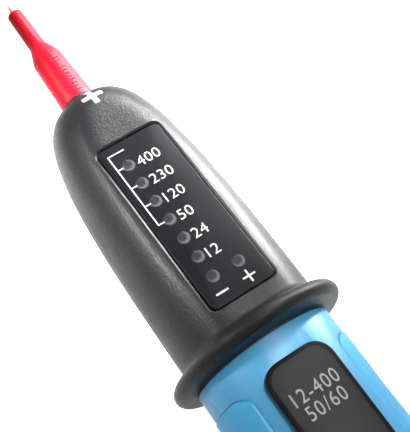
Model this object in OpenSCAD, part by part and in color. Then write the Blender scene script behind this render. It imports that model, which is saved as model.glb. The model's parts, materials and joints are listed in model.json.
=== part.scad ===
// Main probe unit of a two-pole voltage tester. It lies on its back, with the display up:
// X runs across, Y along the unit towards the test tip and Z up. The origin is in the plane that
// the unit rests on, below the middle of the finger guard.

/* [Head] */
// Half width of the head where it meets the finger guard
head_r = 25.3; // [25:0.1:26.5]
// Length from the middle of the finger guard to the top of the dome
head_len = 106.4; // [105:0.1:112]
// Height of the round boss on the dome that the sleeve sits on
boss_len = 2.3; // [1.8:0.1:3]
// Wall thickness of the head shells
head_wall = 2.4; // [2:0.1:2.8]
// Length of the solid nose that clamps the needle socket
nose_len = 16; // [15:0.5:17]
// Outer radius of the finger guard
guard_r = 32.3; // [31.5:0.1:36]
// Thickness of the finger guard's rounded rim
guard_t = 5.8; // [5:0.1:6.4]

/* [Display] */
// Height of the flat front above the axis, at the window's lower edge
face_z = 23.6; // [23.3:0.1:24]
// Slope of the flat front towards the tip, in degrees
face_tilt = 3; // [2.6:0.1:3.4]
// Distance from the middle of the guard to the window's lower edge
window_y = 11.3; // [11:0.1:12]
// Width of the window plate
window_w = 23.8; // [23.4:0.1:24.4]
// Length of the window plate
window_len = 67.6; // [66.4:0.1:68]
// Thickness of the window plate
window_t = 1.2; // [1:0.1:1.4]
// Gap between the window plate and its pocket
window_gap = 0.45; // [0.3:0.05:0.6]
// Radius of an LED's body
led_r = 2.5; // [2.3:0.1:2.6]
// Height of an LED above the circuit board
led_h = 8.6; // [8:0.1:9]
// Distance between neighbouring LEDs
led_pitch = 8; // [7.8:0.1:8.2]
// Thickness of the circuit board
board_t = 1.6; // [1:0.1:2]

/* [Probe] */
// Radius of the needle's shank
needle_r = 2; // [1.8:0.1:2.1]
// Length from the middle of the guard to the needle's point
tip_y = 159; // [157:0.1:162]
// Length of the needle that the sleeve leaves bare
bare_len = 4.4; // [3:0.1:5]
// Outer radius of the sleeve at its base
sleeve_base_r = 6.6; // [6.4:0.05:7]
// Outer radius of the sleeve's front end
sleeve_nose_r = 2.9; // [2.8:0.1:3.2]
// Outer radius of the brass needle socket
socket_r = 4.5; // [4:0.1:4.8]

/* [Handle] */
// Half width of the handle behind the finger guard
grip_r = 25.5; // [25:0.1:26.5]
// Length from the middle of the guard to the end of the tail
grip_len = 108; // [106:0.5:125]
// Half width of the handle where the tail starts to round off
tail_half = 22.5; // [21.5:0.1:24]
// Radius of the rounded tail
tail_round = 12; // [10:0.5:13]
// How much the palm swells out
grip_swell = 2; // [1.6:0.1:3]
// Wall thickness of the grip shells
grip_wall = 2.8; // [2.6:0.1:3.2]
// Width of the label plate
label_w = 23.5; // [22:0.1:25]
// Length of the label plate
label_len = 60; // [50:1:64]
// Height of the label plate's middle above the axis
label_z = 22.7; // [22.6:0.1:23.2]
// Length of the side pads
pad_len = 74; // [66:1:76]
// Radius of the cable that the inlet bush takes
cable_r = 3.1; // [2.5:0.1:3.5]

/* [Hidden] */

// Depth of the head's and the handle's front half as shares of their half width
head_front_share = 1.06;
fillet_share = 0.95;
grip_front_share = 0.85;

// Shape of the dome: the curve starts behind the guard, and its two powers set how full it is
dome_start = 20;
dome_power_share = 3.45;
dome_round_share = 4.24;
dome_steps = 24;

// Boss on the dome, under the sleeve
nose_top = head_len + boss_len;
nose_boss_r = sleeve_base_r + 0.4;
boss_root_r = 1.5;
boss_sink = 0.4;

// Clearances
fit_gap = 0.05;
seat_gap = 0.1;
shell_gap = 0.15;
overrun = 1;
reach = 4 * head_len;

// Finger guard
rim_r = guard_t / 2;
rim_steps = 12;
rim_flat = 0.5;
fillet_r = guard_r - rim_r - head_r - rim_flat;

// Window pocket, measured down from the flat front
window_drop = 0.3;
gasket_t = 0.4;
ledge_w = 1.2;
ledge_t = 1.6;
window_corner = 2;
window_floor = window_drop + window_t + gasket_t;

// LEDs: places across and along the window, from its lower edge
led_top = window_drop + window_t + 2 * gasket_t;
led_base = led_top + led_h;
led_x = -5.3;
led_plus_x = 4.5;
led_from_top = 9.3;
led_row_y = window_len - led_from_top;
led_pair_gap = 8.2;
led_pair_y = row_y(5) - led_pair_gap;
led_flange_r = led_r + 0.4;
led_flange_t = 1;
led_leg_r = 0.25;
led_leg_x = 1.27;
led_leg_len = board_t - seat_gap;
leg_hole_r = 0.4;

// LED holder
holder_gap = 0.4;
holder_top = led_top + gasket_t;
holder_w = window_w - 2 * ledge_w - 2 * holder_gap;
holder_len = window_len - 2 * ledge_w - 2 * holder_gap;
holder_foot_r = 1.5;

// Circuit board: its top is the LEDs' base
board_w = 30;
board_chamfer = 4;
board_tail_w = 23;
board_low = -22;
board_step = -7;
board_top_gap = 1;
board_high = window_len - board_top_gap;
board_bottom = led_base + board_t;

// Bosses and screws of the head: half spacing and place along the axis, low pair and high pair
head_bosses = [[16, 14], [12, 82]];
boss_r = 3.2;
boss_notch_gap = 0.5;
well_r = 3;
well_wall = 1.6;
well_floor = 9;
screw_r = 1.45;
screw_head_r = 2.8;
screw_head_t = 2.2;
screw_len = 15;
screw_slot_w = 0.8;
screw_slot_t = 1;
shank_gap = 0.15;

// Ribs of the rear head shell that carry the circuit board
rib_places = [16.5, 62.5];
rib_t = 1.6;
rib_w = 26;

// Parts on the circuit board: radius or size, and place from the window's lower edge
resistor_r = 1.8;
resistor_len = 10;
resistor_lead = 2;
resistor_pitch = 6;
resistor_first = 14;
resistor_count = 4;
lead_r = 0.35;
ptc_r = 6;
ptc_t = 3.5;
ptc_y = 41.5;
ptc_stand = 0.8;
rectifier_size = [8.5, 6.4, 3.3];
rectifier_y = -4;
rectifier_x = -5.5;
rectifier_stand = 0.5;
chip_size = [3.9, 8.7, 1.5];
chip_x = 6;
chip_y = 41;
chip_stand = 0.1;
chip_leg = [1.05, 0.4, 0.5];
chip_leg_pitch = 1.27;
chip_legs = 7;
capacitor_r = 3;
capacitor_h = 7;
capacitor_x = 6;
capacitor_y = -4;
terminal_size = [10, 7, 7];
terminal_y = -20;
terminal_hole_r = 1.6;
terminal_screw_r = 1.5;

// Needle, socket and sleeve
socket_back = 2;
socket_front = 8;
socket_flange_r = 6;
socket_flange_t = 3;
socket_flange_y = head_len - 10;
socket_bore = 20;
needle_step = 7;
needle_taper_len = 2.4;
needle_neck_r = 0.85;
needle_root_r = 0.5;
needle_point_r = 0.25;
needle_point_len = 0.8;
bush_gap = 0.1;
sleeve_shoulder = 7;
sleeve_cone_len = 21.8;
sleeve_cone_r = 5.75;
sleeve_neck_r = 3.25;
sleeve_round = 1.3;
strip_w = 5;
strip_t = 0.5;
strip_low = 66;
strip_bend = 84;
strip_half = 3;

// Handle: the shells start behind the collar gasket
collar_t = 0.6;
collar_inset = 0.5;
grip_start = guard_t / 2;
grip_run = grip_len - tail_round - grip_start;
grip_steps = 12;
tail_steps = 8;
spigot_len = 9;
spigot_gap = 0.2;
spigot_wall = 2.2;
passage_r = grip_r - grip_wall - spigot_gap - spigot_wall;
grip_bosses = [[15.5, 24], [13.5, 84]];
label_y = 12.9;
label_corner = 6;
label_gap = 0.6;
label_inset = 0.9;
label_crown_r = 62;
pad_y = 13.7;
pad_low = -14;
pad_high = 16;
pad_corner = 5;
pad_proud = 0.5;
pad_inset = 1.5;
pad_inner_x = 12;

// Foot: the guard's back and the palm are cut flat in one plane, just clear of the head's back
foot_gap = 0.15;
axis_z = head_r + foot_gap;

// Inlet bush in the tail
bush_neck_r = 6.4;
bush_collar_r = 8.3;
bush_inner_t = 2;
bush_outer_t = 1.6;
bush_nose_r = 5.4;
bush_nose = 3.2;

round_fn = 96;
post_fn = 48;
small_fn = 32;
wire_fn = 16;

// Points of the head's outline: half width and place along the axis, drawn in by an inset
function dome_point(turn, inset, len) = [(head_r - inset) * pow(cos(turn), 2 / dome_round_share),
    (len + dome_start) * pow(sin(turn), 2 / dome_power_share) - dome_start];
function head_outline(inset, len) = concat([[0, -dome_start], [head_r - inset, -dome_start]],
    [for (i = [1:dome_steps]) dome_point(90 * i / dome_steps, inset, len)]);

// Rim of the guard, the passage through it, and the hollow curve from the guard to the head
guard_outline = concat([[0, -rim_r]],
    [for (i = [0:rim_steps]) let (turn = 180 * i / rim_steps - 90)
        [guard_r - rim_r + rim_r * cos(turn), rim_r * sin(turn)]],
    [[0, rim_r]]);
passage_outline = [[0, -grip_len], [passage_r, -grip_len], [passage_r, guard_t], [0, guard_t]];
fillet_outline = concat([[0, 0], [head_r + fillet_r, 0]],
    [for (i = [0:rim_steps]) let (turn = 90 * i / rim_steps)
        [head_r + fillet_r - fillet_r * sin(turn), rim_r + fillet_r - fillet_r * cos(turn)]],
    [[0, rim_r + fillet_r]]);

// Points of the handle's outline, from the guard to the tail
function grip_half(u) = grip_r + (tail_half - grip_r) * u * u
    + grip_swell * (1 - cos(360 * u * u)) / 2;
function grip_outline(inset) = concat([[0, -grip_start]],
    [for (i = [0:grip_steps]) let (u = i / grip_steps)
        [grip_half(u) - inset, -grip_start - u * grip_run]],
    [for (i = [1:tail_steps]) let (turn = 90 * i / tail_steps)
        [tail_half - tail_round + (tail_round - inset) * cos(turn),
            tail_round - grip_len - (tail_round - inset) * sin(turn)]],
    [[0, inset - grip_len]]);

// Place of an LED along the window, and height of the board's underside at a place along the axis
function row_y(i) = led_row_y - i * led_pitch;
function under_board(y) = face_z - (y - window_y) * tan(face_tilt) - board_bottom / cos(face_tilt);

module on_axis() translate([0, 0, axis_z]) children();

// The window's own plane: X across, Y along the window from its lower edge, Z out of the front
module on_face() on_axis() translate([0, window_y, face_z]) rotate([-face_tilt, 0, 0]) children();

module turned(outline, share = 1)
    scale([1, 1, share]) rotate([-90, 0, 0]) rotate_extrude($fn = round_fn) polygon(outline);

module front_space() translate([-reach, -reach, 0]) cube([2 * reach, 2 * reach, reach]);
module rear_space() translate([-reach, -reach, -reach]) cube([2 * reach, 2 * reach, reach]);
module above_foot() translate([-reach, -reach, -axis_z]) cube([2 * reach, 2 * reach, reach + axis_z]);
module behind(y) translate([-reach, -reach, -reach]) cube([2 * reach, reach - y, 2 * reach]);

// Everything in front of a plane that lies a depth below the flat front
module above_face(depth) translate([0, window_y, face_z]) rotate([-face_tilt, 0, 0])
    translate([-reach, -reach, -depth]) cube([2 * reach, 2 * reach, reach]);

// The handle's full body, its front half flatter than its rear half
module grip_body(inset) {
    intersection() {
        turned(grip_outline(inset), grip_front_share);
        front_space();
    }
    intersection() {
        turned(grip_outline(inset));
        rear_space();
    }
}

module rounded_rect(w, len, r) {
    translate([-w / 2, r]) square([w, len - 2 * r]);
    translate([r - w / 2, 0]) square([w - 2 * r, len]);
    for (x = [r - w / 2, w / 2 - r], y = [r, len - r]) translate([x, y]) circle(r, $fn = post_fn);
}

module upright(x, y, r, low, high) translate([x, y, low]) cylinder(r = r, h = high - low, $fn = post_fn);

// Posts, wells and holes at a list of places, on both sides of the middle
module each_side(places, along) for (p = places, side = [-1, 1])
    translate([side * p[0], along * p[1], 0]) children();

module front_posts(places, along) each_side(places, along) upright(0, 0, boss_r, 0, reach);
module rear_posts(places, along) each_side(places, along) upright(0, 0, well_r + well_wall, -reach, 0);
module front_holes(places, along) each_side(places, along)
    upright(0, 0, screw_r + fit_gap, -overrun, screw_len - well_floor + overrun);
module rear_holes(places, along) each_side(places, along) {
    upright(0, 0, well_r, -reach, -well_floor);
    upright(0, 0, screw_r + shank_gap, -well_floor - overrun, overrun);
}

// Round boss on top of the dome, with a hollow curve down to it
module nose_boss() turned(concat(
    [[0, head_len - boss_root_r], [nose_boss_r + boss_root_r, head_len - boss_root_r]],
    [for (i = [0:rim_steps]) let (turn = 90 * i / rim_steps)
        [nose_boss_r + boss_root_r * (1 - sin(turn)),
            head_len - boss_sink + boss_root_r * (1 - cos(turn))]],
    [[nose_boss_r, nose_top], [0, nose_top]]));

// Seat of the needle socket in the nose, with a groove for its flange
module socket_seat() {
    turned([[0, 0], [socket_r + fit_gap, 0], [socket_r + fit_gap, nose_top + overrun],
        [0, nose_top + overrun]]);
    turned([[0, socket_flange_y - fit_gap], [socket_flange_r + fit_gap, socket_flange_y - fit_gap],
        [socket_flange_r + fit_gap, socket_flange_y + socket_flange_t + fit_gap],
        [0, socket_flange_y + socket_flange_t + fit_gap]]);
}

// Collar of a head shell that goes inside the handle
module spigot(share) difference() {
    intersection() {
        turned(grip_outline(grip_wall + spigot_gap), share);
        translate([-reach, -rim_r - spigot_len, -reach]) cube([2 * reach, spigot_len + rim_r, 2 * reach]);
    }
    turned(passage_outline, share);
}

module guard(share) difference() {
    turned(guard_outline, share);
    turned(passage_outline, grip_front_share);
}

module head_front_shell() color("#2c2d2f") on_axis() difference() {
    union() {
        difference() {
            union() {
                difference() {
                    turned(head_outline(0, head_len), head_front_share);
                    above_face(0);
                }
                turned(fillet_outline, fillet_share);
                nose_boss();
            }
            difference() {
                turned(head_outline(head_wall, head_len - nose_len), head_front_share);
                above_face(window_floor + ledge_t);
            }
            behind(0);
        }
        guard(head_front_share);
        spigot(grip_front_share);
        intersection() {
            front_posts(head_bosses, 1);
            turned(head_outline(head_wall / 2, head_len), head_front_share);
        }
    }
    rear_space();
    front_holes(head_bosses, 1);
    socket_seat();
    translate([0, window_y, face_z]) rotate([-face_tilt, 0, 0]) {
        translate([0, -window_gap, -window_floor]) linear_extrude(reach)
            rounded_rect(window_w + 2 * window_gap, window_len + 2 * window_gap,
                window_corner + window_gap);
        translate([0, ledge_w, -window_floor - ledge_t - overrun]) linear_extrude(reach)
            rounded_rect(window_w - 2 * ledge_w, window_len - 2 * ledge_w, window_corner / 2);
    }
}

module head_rear_shell() color("#2c2d2f") on_axis() difference() {
    union() {
        difference() {
            union() {
                turned(head_outline(0, head_len));
                intersection() {
                    turned(fillet_outline);
                    above_foot();
                }
                nose_boss();
            }
            turned(head_outline(head_wall, head_len - nose_len));
            behind(0);
            front_space();
        }
        difference() {
            intersection() {
                turned(guard_outline);
                above_foot();
            }
            turned(passage_outline);
            front_space();
        }
        difference() {
            spigot(1);
            front_space();
        }
        intersection() {
            rear_posts(head_bosses, 1);
            turned(head_outline(head_wall / 2, head_len));
        }
        intersection() {
            for (y = rib_places) translate([-rib_w / 2, y, -reach]) cube([rib_w, rib_t, 2 * reach]);
            turned(head_outline(head_wall / 2, head_len));
            translate([0, window_y, face_z]) rotate([-face_tilt, 0, 0])
                translate([-reach, -reach, -2 * reach - board_bottom - seat_gap]) cube(2 * reach);
        }
    }
    rear_holes(head_bosses, 1);
    socket_seat();
}

module display_window() color("#3a3d42") on_face() translate([0, 0, -window_drop - window_t])
    linear_extrude(window_t) rounded_rect(window_w, window_len, window_corner);

module window_gasket() color("#1b1b1c") on_face() translate([0, 0, -window_floor])
    linear_extrude(gasket_t) difference() {
        rounded_rect(window_w, window_len, window_corner);
        translate([0, ledge_w])
            rounded_rect(window_w - 2 * ledge_w, window_len - 2 * ledge_w, window_corner / 2);
    }

// Places of the eight LEDs: six in a column and the pair for the polarity
led_places = concat([for (i = [0:5]) [led_x, row_y(i)]], [[led_x, led_pair_y], [led_plus_x, led_pair_y]]);

module led_holder() color("#17181a") on_face() difference() {
    union() {
        translate([0, ledge_w + holder_gap, -led_base + led_flange_t + seat_gap])
            linear_extrude(led_base - led_flange_t - seat_gap - holder_top)
                rounded_rect(holder_w, holder_len, window_corner / 2);
        for (x = [-1, 1], y = [ledge_w + holder_gap, window_len - ledge_w - holder_gap - 2 * holder_foot_r])
            translate([x * (holder_w / 2 - holder_foot_r), y + holder_foot_r, -led_base])
                cylinder(r = holder_foot_r, h = led_flange_t + 2 * seat_gap, $fn = small_fn);
    }
    for (p = led_places) translate([p[0], p[1], -led_base])
        cylinder(r = led_r + fit_gap, h = led_h + overrun, $fn = post_fn);
}

module led(index) color("#8d8f93") on_face()
    translate([led_places[index][0], led_places[index][1], -led_base]) {
    rotate_extrude($fn = post_fn) polygon(concat(
        [[0, 0], [led_flange_r, 0], [led_flange_r, led_flange_t], [led_r, led_flange_t]],
        [for (i = [0:tail_steps]) let (turn = 90 * i / tail_steps)
            [led_r * cos(turn), led_h - led_r + led_r * sin(turn)]]));
    for (side = [-1, 1]) translate([side * led_leg_x, 0, -led_leg_len])
        cylinder(r = led_leg_r, h = led_leg_len + fit_gap, $fn = wire_fn);
}

module circuit_board() color("#1f6b3a") on_face() difference() {
    translate([0, 0, -board_bottom]) linear_extrude(board_t) polygon([
        [-board_tail_w / 2, board_low], [board_tail_w / 2, board_low],
        [board_tail_w / 2, board_step], [board_w / 2, board_step],
        [board_w / 2, board_high - board_chamfer], [board_w / 2 - board_chamfer, board_high],
        [board_chamfer - board_w / 2, board_high], [-board_w / 2, board_high - board_chamfer],
        [-board_w / 2, board_step], [-board_tail_w / 2, board_step]]);
    for (p = led_places, side = [-1, 1]) translate([p[0] + side * led_leg_x, p[1], -board_bottom - overrun])
        cylinder(r = leg_hole_r, h = board_t + 2 * overrun, $fn = wire_fn);
    for (p = head_bosses, side = [-1, 1])
        translate([side * p[0], p[1] - window_y + board_bottom * tan(face_tilt), -board_bottom - overrun])
            cylinder(r = boss_r + boss_notch_gap, h = board_t + 2 * overrun, $fn = post_fn);
}

// What hangs under the circuit board is drawn with Z pointing away from the board's underside
module under_the_board(x, y) on_face() translate([x, y, -board_bottom]) mirror([0, 0, 1]) children();

module series_resistors() color("#3f6fa8") for (i = [0:resistor_count - 1])
    under_the_board(0, resistor_first + i * resistor_pitch) {
        translate([-resistor_len / 2, 0, resistor_r + seat_gap]) rotate([0, 90, 0])
            cylinder(r = resistor_r, h = resistor_len, $fn = small_fn);
        translate([-resistor_len / 2 - resistor_lead, 0, resistor_r + seat_gap]) rotate([0, 90, 0])
            cylinder(r = lead_r, h = resistor_len + 2 * resistor_lead, $fn = wire_fn);
        for (side = [-1, 1]) translate([side * (resistor_len / 2 + resistor_lead - lead_r), 0, 0])
            cylinder(r = lead_r, h = resistor_r + seat_gap, $fn = wire_fn);
    }

module ptc_resistor() color("#c8782c") under_the_board(0, ptc_y) {
    translate([-ptc_t / 2, 0, ptc_r + ptc_stand]) rotate([0, 90, 0])
        cylinder(r = ptc_r, h = ptc_t, $fn = post_fn);
    for (side = [-1, 1]) translate([0, side * ptc_r / 2, 0])
        cylinder(r = lead_r, h = ptc_r, $fn = wire_fn);
}

module bridge_rectifier() color("#222222") under_the_board(rectifier_x, rectifier_y) {
    translate([-rectifier_size[0] / 2, -rectifier_size[1] / 2, rectifier_stand]) cube(rectifier_size);
    for (x = [-1, 1], y = [-1, 1]) translate([x * rectifier_size[0] / 4, y * rectifier_size[1] / 4, 0])
        cylinder(r = lead_r, h = rectifier_stand + fit_gap, $fn = wire_fn);
}

module comparator_chips() color("#1a1a1a") for (chip = [-1, 1]) under_the_board(chip * chip_x, chip_y) {
    translate([-chip_size[0] / 2, -chip_size[1] / 2, chip_stand]) cube(chip_size);
    for (side = [-1, 1], i = [0:chip_legs - 1])
        translate([side * (chip_size[0] + chip_leg[0]) / 2 - chip_leg[0] / 2 - side * fit_gap,
            (i - (chip_legs - 1) / 2) * chip_leg_pitch - chip_leg[1] / 2, 0]) cube(chip_leg);
}

module smoothing_capacitor() color("#20335c") under_the_board(capacitor_x, capacitor_y)
    cylinder(r = capacitor_r, h = capacitor_h, $fn = post_fn);

module cable_terminal() color("#2f7d4f") under_the_board(0, terminal_y) difference() {
    translate([-terminal_size[0] / 2, 0, 0]) cube(terminal_size);
    for (side = [-1, 1]) translate([side * terminal_size[0] / 4, 0, 0]) {
        translate([0, -overrun, terminal_size[2] / 2]) rotate([-90, 0, 0])
            cylinder(r = terminal_hole_r, h = terminal_size[1] / 2 + overrun, $fn = small_fn);
        translate([0, terminal_size[1] / 2, terminal_size[2] - terminal_screw_r])
            cylinder(r = terminal_screw_r, h = terminal_size[2], $fn = small_fn);
    }
}

module contact_strip() color("#c9a24a") on_axis() translate([-strip_w / 2, 0, 0])
    rotate([90, 0, 90]) linear_extrude(strip_w) polygon([
        [strip_low, under_board(strip_low) - seat_gap],
        [strip_bend, under_board(strip_bend) - seat_gap],
        [socket_end - seat_gap, strip_half],
        [socket_end - seat_gap, -strip_half],
        [socket_end - seat_gap - strip_t, -strip_half],
        [socket_end - seat_gap - strip_t, strip_half - strip_t],
        [strip_bend - strip_t / 2, under_board(strip_bend) - seat_gap - strip_t],
        [strip_low, under_board(strip_low) - seat_gap - strip_t]]);

// Rear end of the socket, and the place where its bore for the needle ends
socket_end = head_len - nose_len - socket_back;
needle_end = nose_top + socket_front - socket_bore;

module needle_socket() color("#c9a24a") on_axis() turned([
    [0, socket_end], [socket_r, socket_end], [socket_r, socket_flange_y],
    [socket_flange_r, socket_flange_y], [socket_flange_r, socket_flange_y + socket_flange_t],
    [socket_r, socket_flange_y + socket_flange_t], [socket_r, nose_top + socket_front],
    [needle_r + fit_gap, nose_top + socket_front], [needle_r + fit_gap, needle_end],
    [0, needle_end]]);

sleeve_end = tip_y - bare_len;
needle_shank_end = sleeve_end - needle_step;

module probe_needle() color("#c9cbce") on_axis() turned([
    [0, needle_end + seat_gap], [needle_r, needle_end + seat_gap], [needle_r, needle_shank_end],
    [needle_neck_r, needle_shank_end + needle_taper_len], [needle_neck_r - bush_gap, sleeve_end],
    [needle_root_r, tip_y - needle_point_len], [needle_point_r, tip_y], [0, tip_y]]);

module probe_sleeve() color("#e62e4c") on_axis() turned(concat([
    [socket_r + fit_gap, nose_top + seat_gap],
    [sleeve_base_r, nose_top + seat_gap],
    [sleeve_cone_r, nose_top + sleeve_cone_len],
    [sleeve_neck_r, nose_top + sleeve_cone_len + sleeve_shoulder],
    [sleeve_nose_r, sleeve_end - sleeve_round]],
    [for (i = [1:tail_steps]) let (turn = 90 * i / tail_steps)
        [sleeve_nose_r - sleeve_round + sleeve_round * cos(turn),
            sleeve_end - sleeve_round + sleeve_round * sin(turn)]],
    [[needle_neck_r + bush_gap, sleeve_end],
    [needle_neck_r + bush_gap, needle_shank_end + needle_taper_len + bush_gap],
    [needle_r + bush_gap, needle_shank_end + bush_gap],
    [needle_r + bush_gap, nose_top + socket_front + 2 * bush_gap],
    [socket_r + fit_gap, nose_top + socket_front + bush_gap]]));

module collar_gasket() color("#141414") on_axis() difference() {
    intersection() {
        grip_body(collar_inset);
        translate([-reach, -rim_r - collar_t, -reach]) cube([2 * reach, collar_t, 2 * reach]);
    }
    intersection() {
        turned(grip_outline(grip_wall), grip_front_share);
        front_space();
    }
    intersection() {
        turned(grip_outline(grip_wall));
        rear_space();
    }
}

// Outline of the label plate and of a side pad, each grown by a gap
module label_prism(gap) translate([0, -label_y - label_len - gap, 0]) linear_extrude(reach)
    rounded_rect(label_w + 2 * gap, label_len + 2 * gap, label_corner + gap);

module pad_prism(side, gap)
    translate([side * pad_inner_x, -pad_y - pad_len - gap, (pad_high + pad_low) / 2])
        rotate([0, side * 90, 0]) linear_extrude(reach)
            rounded_rect(pad_high - pad_low + 2 * gap, pad_len + 2 * gap, pad_corner + gap);

// Hollow shell of one half of the handle, with the holes in the tail and the recesses for the pads
module grip_shell(share, places) difference() {
    union() {
        difference() {
            turned(grip_outline(0), share);
            turned(grip_outline(grip_wall), share);
        }
        intersection() {
            children();
            turned(grip_outline(grip_wall / 2), share);
        }
    }
    translate([-reach, -rim_r - collar_t, -reach]) cube([2 * reach, reach, 2 * reach]);
    turned([[0, -2 * grip_len], [bush_neck_r + fit_gap, -2 * grip_len],
        [bush_neck_r + fit_gap, 0], [0, 0]]);
    for (side = [-1, 1]) difference() {
        pad_prism(side, shell_gap);
        turned(grip_outline(pad_inset + shell_gap), share);
    }
}

module grip_front_shell() color("#62b3e0") on_axis() difference() {
    grip_shell(grip_front_share) front_posts(grip_bosses, -1);
    rear_space();
    front_holes(grip_bosses, -1);
    difference() {
        label_prism(label_gap);
        turned(grip_outline(label_inset), grip_front_share);
    }
}

module grip_rear_shell() color("#62b3e0") on_axis() difference() {
    intersection() {
        grip_shell(1) rear_posts(grip_bosses, -1);
        above_foot();
    }
    front_space();
    rear_holes(grip_bosses, -1);
}

module label_plate() color("#303133") on_axis() difference() {
    intersection() {
        label_prism(0);
        translate([0, 0, label_z - label_crown_r]) rotate([90, 0, 0])
            cylinder(r = label_crown_r, h = grip_len, $fn = round_fn);
    }
    turned(grip_outline(label_inset - seat_gap), grip_front_share);
}

module side_grip(side) color("#5aaedd") on_axis() difference() {
    intersection() {
        pad_prism(side, 0);
        grip_body(-pad_proud);
    }
    grip_body(pad_inset);
}
module side_grip_left() side_grip(-1);
module side_grip_right() side_grip(1);

// A self-tapping screw in its well, head downwards
module screw() translate([0, 0, -well_floor]) {
    difference() {
        translate([0, 0, -screw_head_t])
            cylinder(r = screw_head_r, h = screw_head_t, $fn = small_fn);
        translate([-screw_head_r, -screw_slot_w / 2, -screw_head_t - overrun])
            cube([2 * screw_head_r, screw_slot_w, screw_slot_t + overrun]);
    }
    cylinder(r = screw_r, h = screw_len, $fn = small_fn);
}
module head_screws() color("#9a9da1") on_axis() each_side(head_bosses, 1) screw();
module grip_screws() color("#9a9da1") on_axis() each_side(grip_bosses, -1) screw();

module cable_bush() color("#1d1d1e") on_axis() turned([
    [cable_r, grip_wall + bush_inner_t - grip_len],
    [bush_collar_r, grip_wall + bush_inner_t - grip_len],
    [bush_collar_r, grip_wall + seat_gap - grip_len],
    [bush_neck_r, grip_wall + seat_gap - grip_len],
    [bush_neck_r, -grip_len - seat_gap],
    [bush_collar_r, -grip_len - seat_gap],
    [bush_collar_r, -grip_len - seat_gap - bush_outer_t],
    [bush_nose_r, -grip_len - bush_outer_t - bush_nose],
    [cable_r, -grip_len - bush_outer_t - bush_nose]]);

head_front_shell();
head_rear_shell();
display_window();
window_gasket();
led_holder();
led(0);  // led_400v
led(1);  // led_230v
led(2);  // led_120v
led(3);  // led_50v
led(4);  // led_24v
led(5);  // led_12v
led(6);  // led_minus
led(7);  // led_plus
circuit_board();
series_resistors();
ptc_resistor();
bridge_rectifier();
comparator_chips();
smoothing_capacitor();
cable_terminal();
contact_strip();
needle_socket();
probe_needle();
probe_sleeve();
collar_gasket();
grip_front_shell();
grip_rear_shell();
label_plate();
side_grip_left();
side_grip_right();
head_screws();
grip_screws();
cable_bush();
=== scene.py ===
"""Looks of the two-pole voltage tester's main probe unit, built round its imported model.

Sizes are in millimetres and measured from the tester's own axis: X across, Y along it from the
middle of the finger guard towards the needle, Z out of the display. `Place` turns them into the
shared frame's metres.
"""

import json
import logging
import math
from bisect import bisect_right
from dataclasses import dataclass, field
from enum import Enum
from typing import Sequence

import bmesh
import bpy
from bmesh.types import BMesh
from bpy.types import ID, Material, Mesh, Node, NodeSocket as Socket, NodeTree, Object
from mathutils import Matrix, Vector

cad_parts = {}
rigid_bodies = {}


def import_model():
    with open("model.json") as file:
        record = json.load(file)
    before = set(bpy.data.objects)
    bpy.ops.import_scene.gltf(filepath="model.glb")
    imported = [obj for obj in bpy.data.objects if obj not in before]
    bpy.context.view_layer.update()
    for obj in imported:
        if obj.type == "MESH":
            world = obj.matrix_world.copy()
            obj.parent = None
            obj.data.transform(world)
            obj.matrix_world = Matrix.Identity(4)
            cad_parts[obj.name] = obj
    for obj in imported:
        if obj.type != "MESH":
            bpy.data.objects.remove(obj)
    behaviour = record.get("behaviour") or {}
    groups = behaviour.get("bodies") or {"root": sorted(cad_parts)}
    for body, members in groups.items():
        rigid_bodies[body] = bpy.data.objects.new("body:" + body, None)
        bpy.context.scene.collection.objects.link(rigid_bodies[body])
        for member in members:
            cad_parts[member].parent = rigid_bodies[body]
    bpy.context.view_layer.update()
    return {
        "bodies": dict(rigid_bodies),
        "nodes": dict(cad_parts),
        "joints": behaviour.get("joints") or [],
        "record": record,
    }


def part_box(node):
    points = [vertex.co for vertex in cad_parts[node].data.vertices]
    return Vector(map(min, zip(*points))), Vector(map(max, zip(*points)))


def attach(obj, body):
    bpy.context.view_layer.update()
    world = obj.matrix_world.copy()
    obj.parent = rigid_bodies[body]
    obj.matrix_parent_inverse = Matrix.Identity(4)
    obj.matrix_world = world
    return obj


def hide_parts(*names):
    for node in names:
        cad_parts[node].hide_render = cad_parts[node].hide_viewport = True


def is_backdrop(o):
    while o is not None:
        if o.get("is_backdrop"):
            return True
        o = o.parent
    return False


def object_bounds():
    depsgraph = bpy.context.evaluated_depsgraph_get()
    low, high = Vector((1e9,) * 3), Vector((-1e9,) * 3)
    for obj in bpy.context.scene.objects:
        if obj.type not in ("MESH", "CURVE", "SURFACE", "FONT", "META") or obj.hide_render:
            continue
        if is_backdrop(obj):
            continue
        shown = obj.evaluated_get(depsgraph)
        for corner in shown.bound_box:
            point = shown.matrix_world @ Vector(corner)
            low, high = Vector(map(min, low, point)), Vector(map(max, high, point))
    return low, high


log = logging.getLogger("tester")

Spot = tuple[float, float]
Point = tuple[float, float, float]
Colour = tuple[float, float, float]
Sockets = dict[str, Socket]

MM = 0.001
PER_METRE = 1000.0
QUARTER = math.pi / 2
HALF_CORNER = 45
WHITE = (1.0, 1.0, 1.0, 1.0)

# How near two points of a mesh must be, in metres, to become one, and how little two triangles of a
# CAD node must turn from each other, in degrees, to become one flat face.
MERGE_DISTANCE = 2e-7
NODE_MERGE_DISTANCE = 5 * MERGE_DISTANCE
FLAT_ANGLE = 0.4

# Edges that turn more than this many degrees are rounded, with this many faces across the round.
ROUND_ANGLE = 35.0
ROUND_FACES = 2
SCREW_ROUND = 0.15


class Body(Enum):
    """The bodies that a piece can ride on."""

    TESTER = "tester"
    SLEEVE = "sleeve"


class Edge(Enum):
    """How far two faces may turn from each other before their edge stays sharp, in degrees."""

    SOFT = 50.0
    CRISP = 32.0
    FINE = 20.0


# ---------------------------------------------------------------- places and meshes


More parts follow.
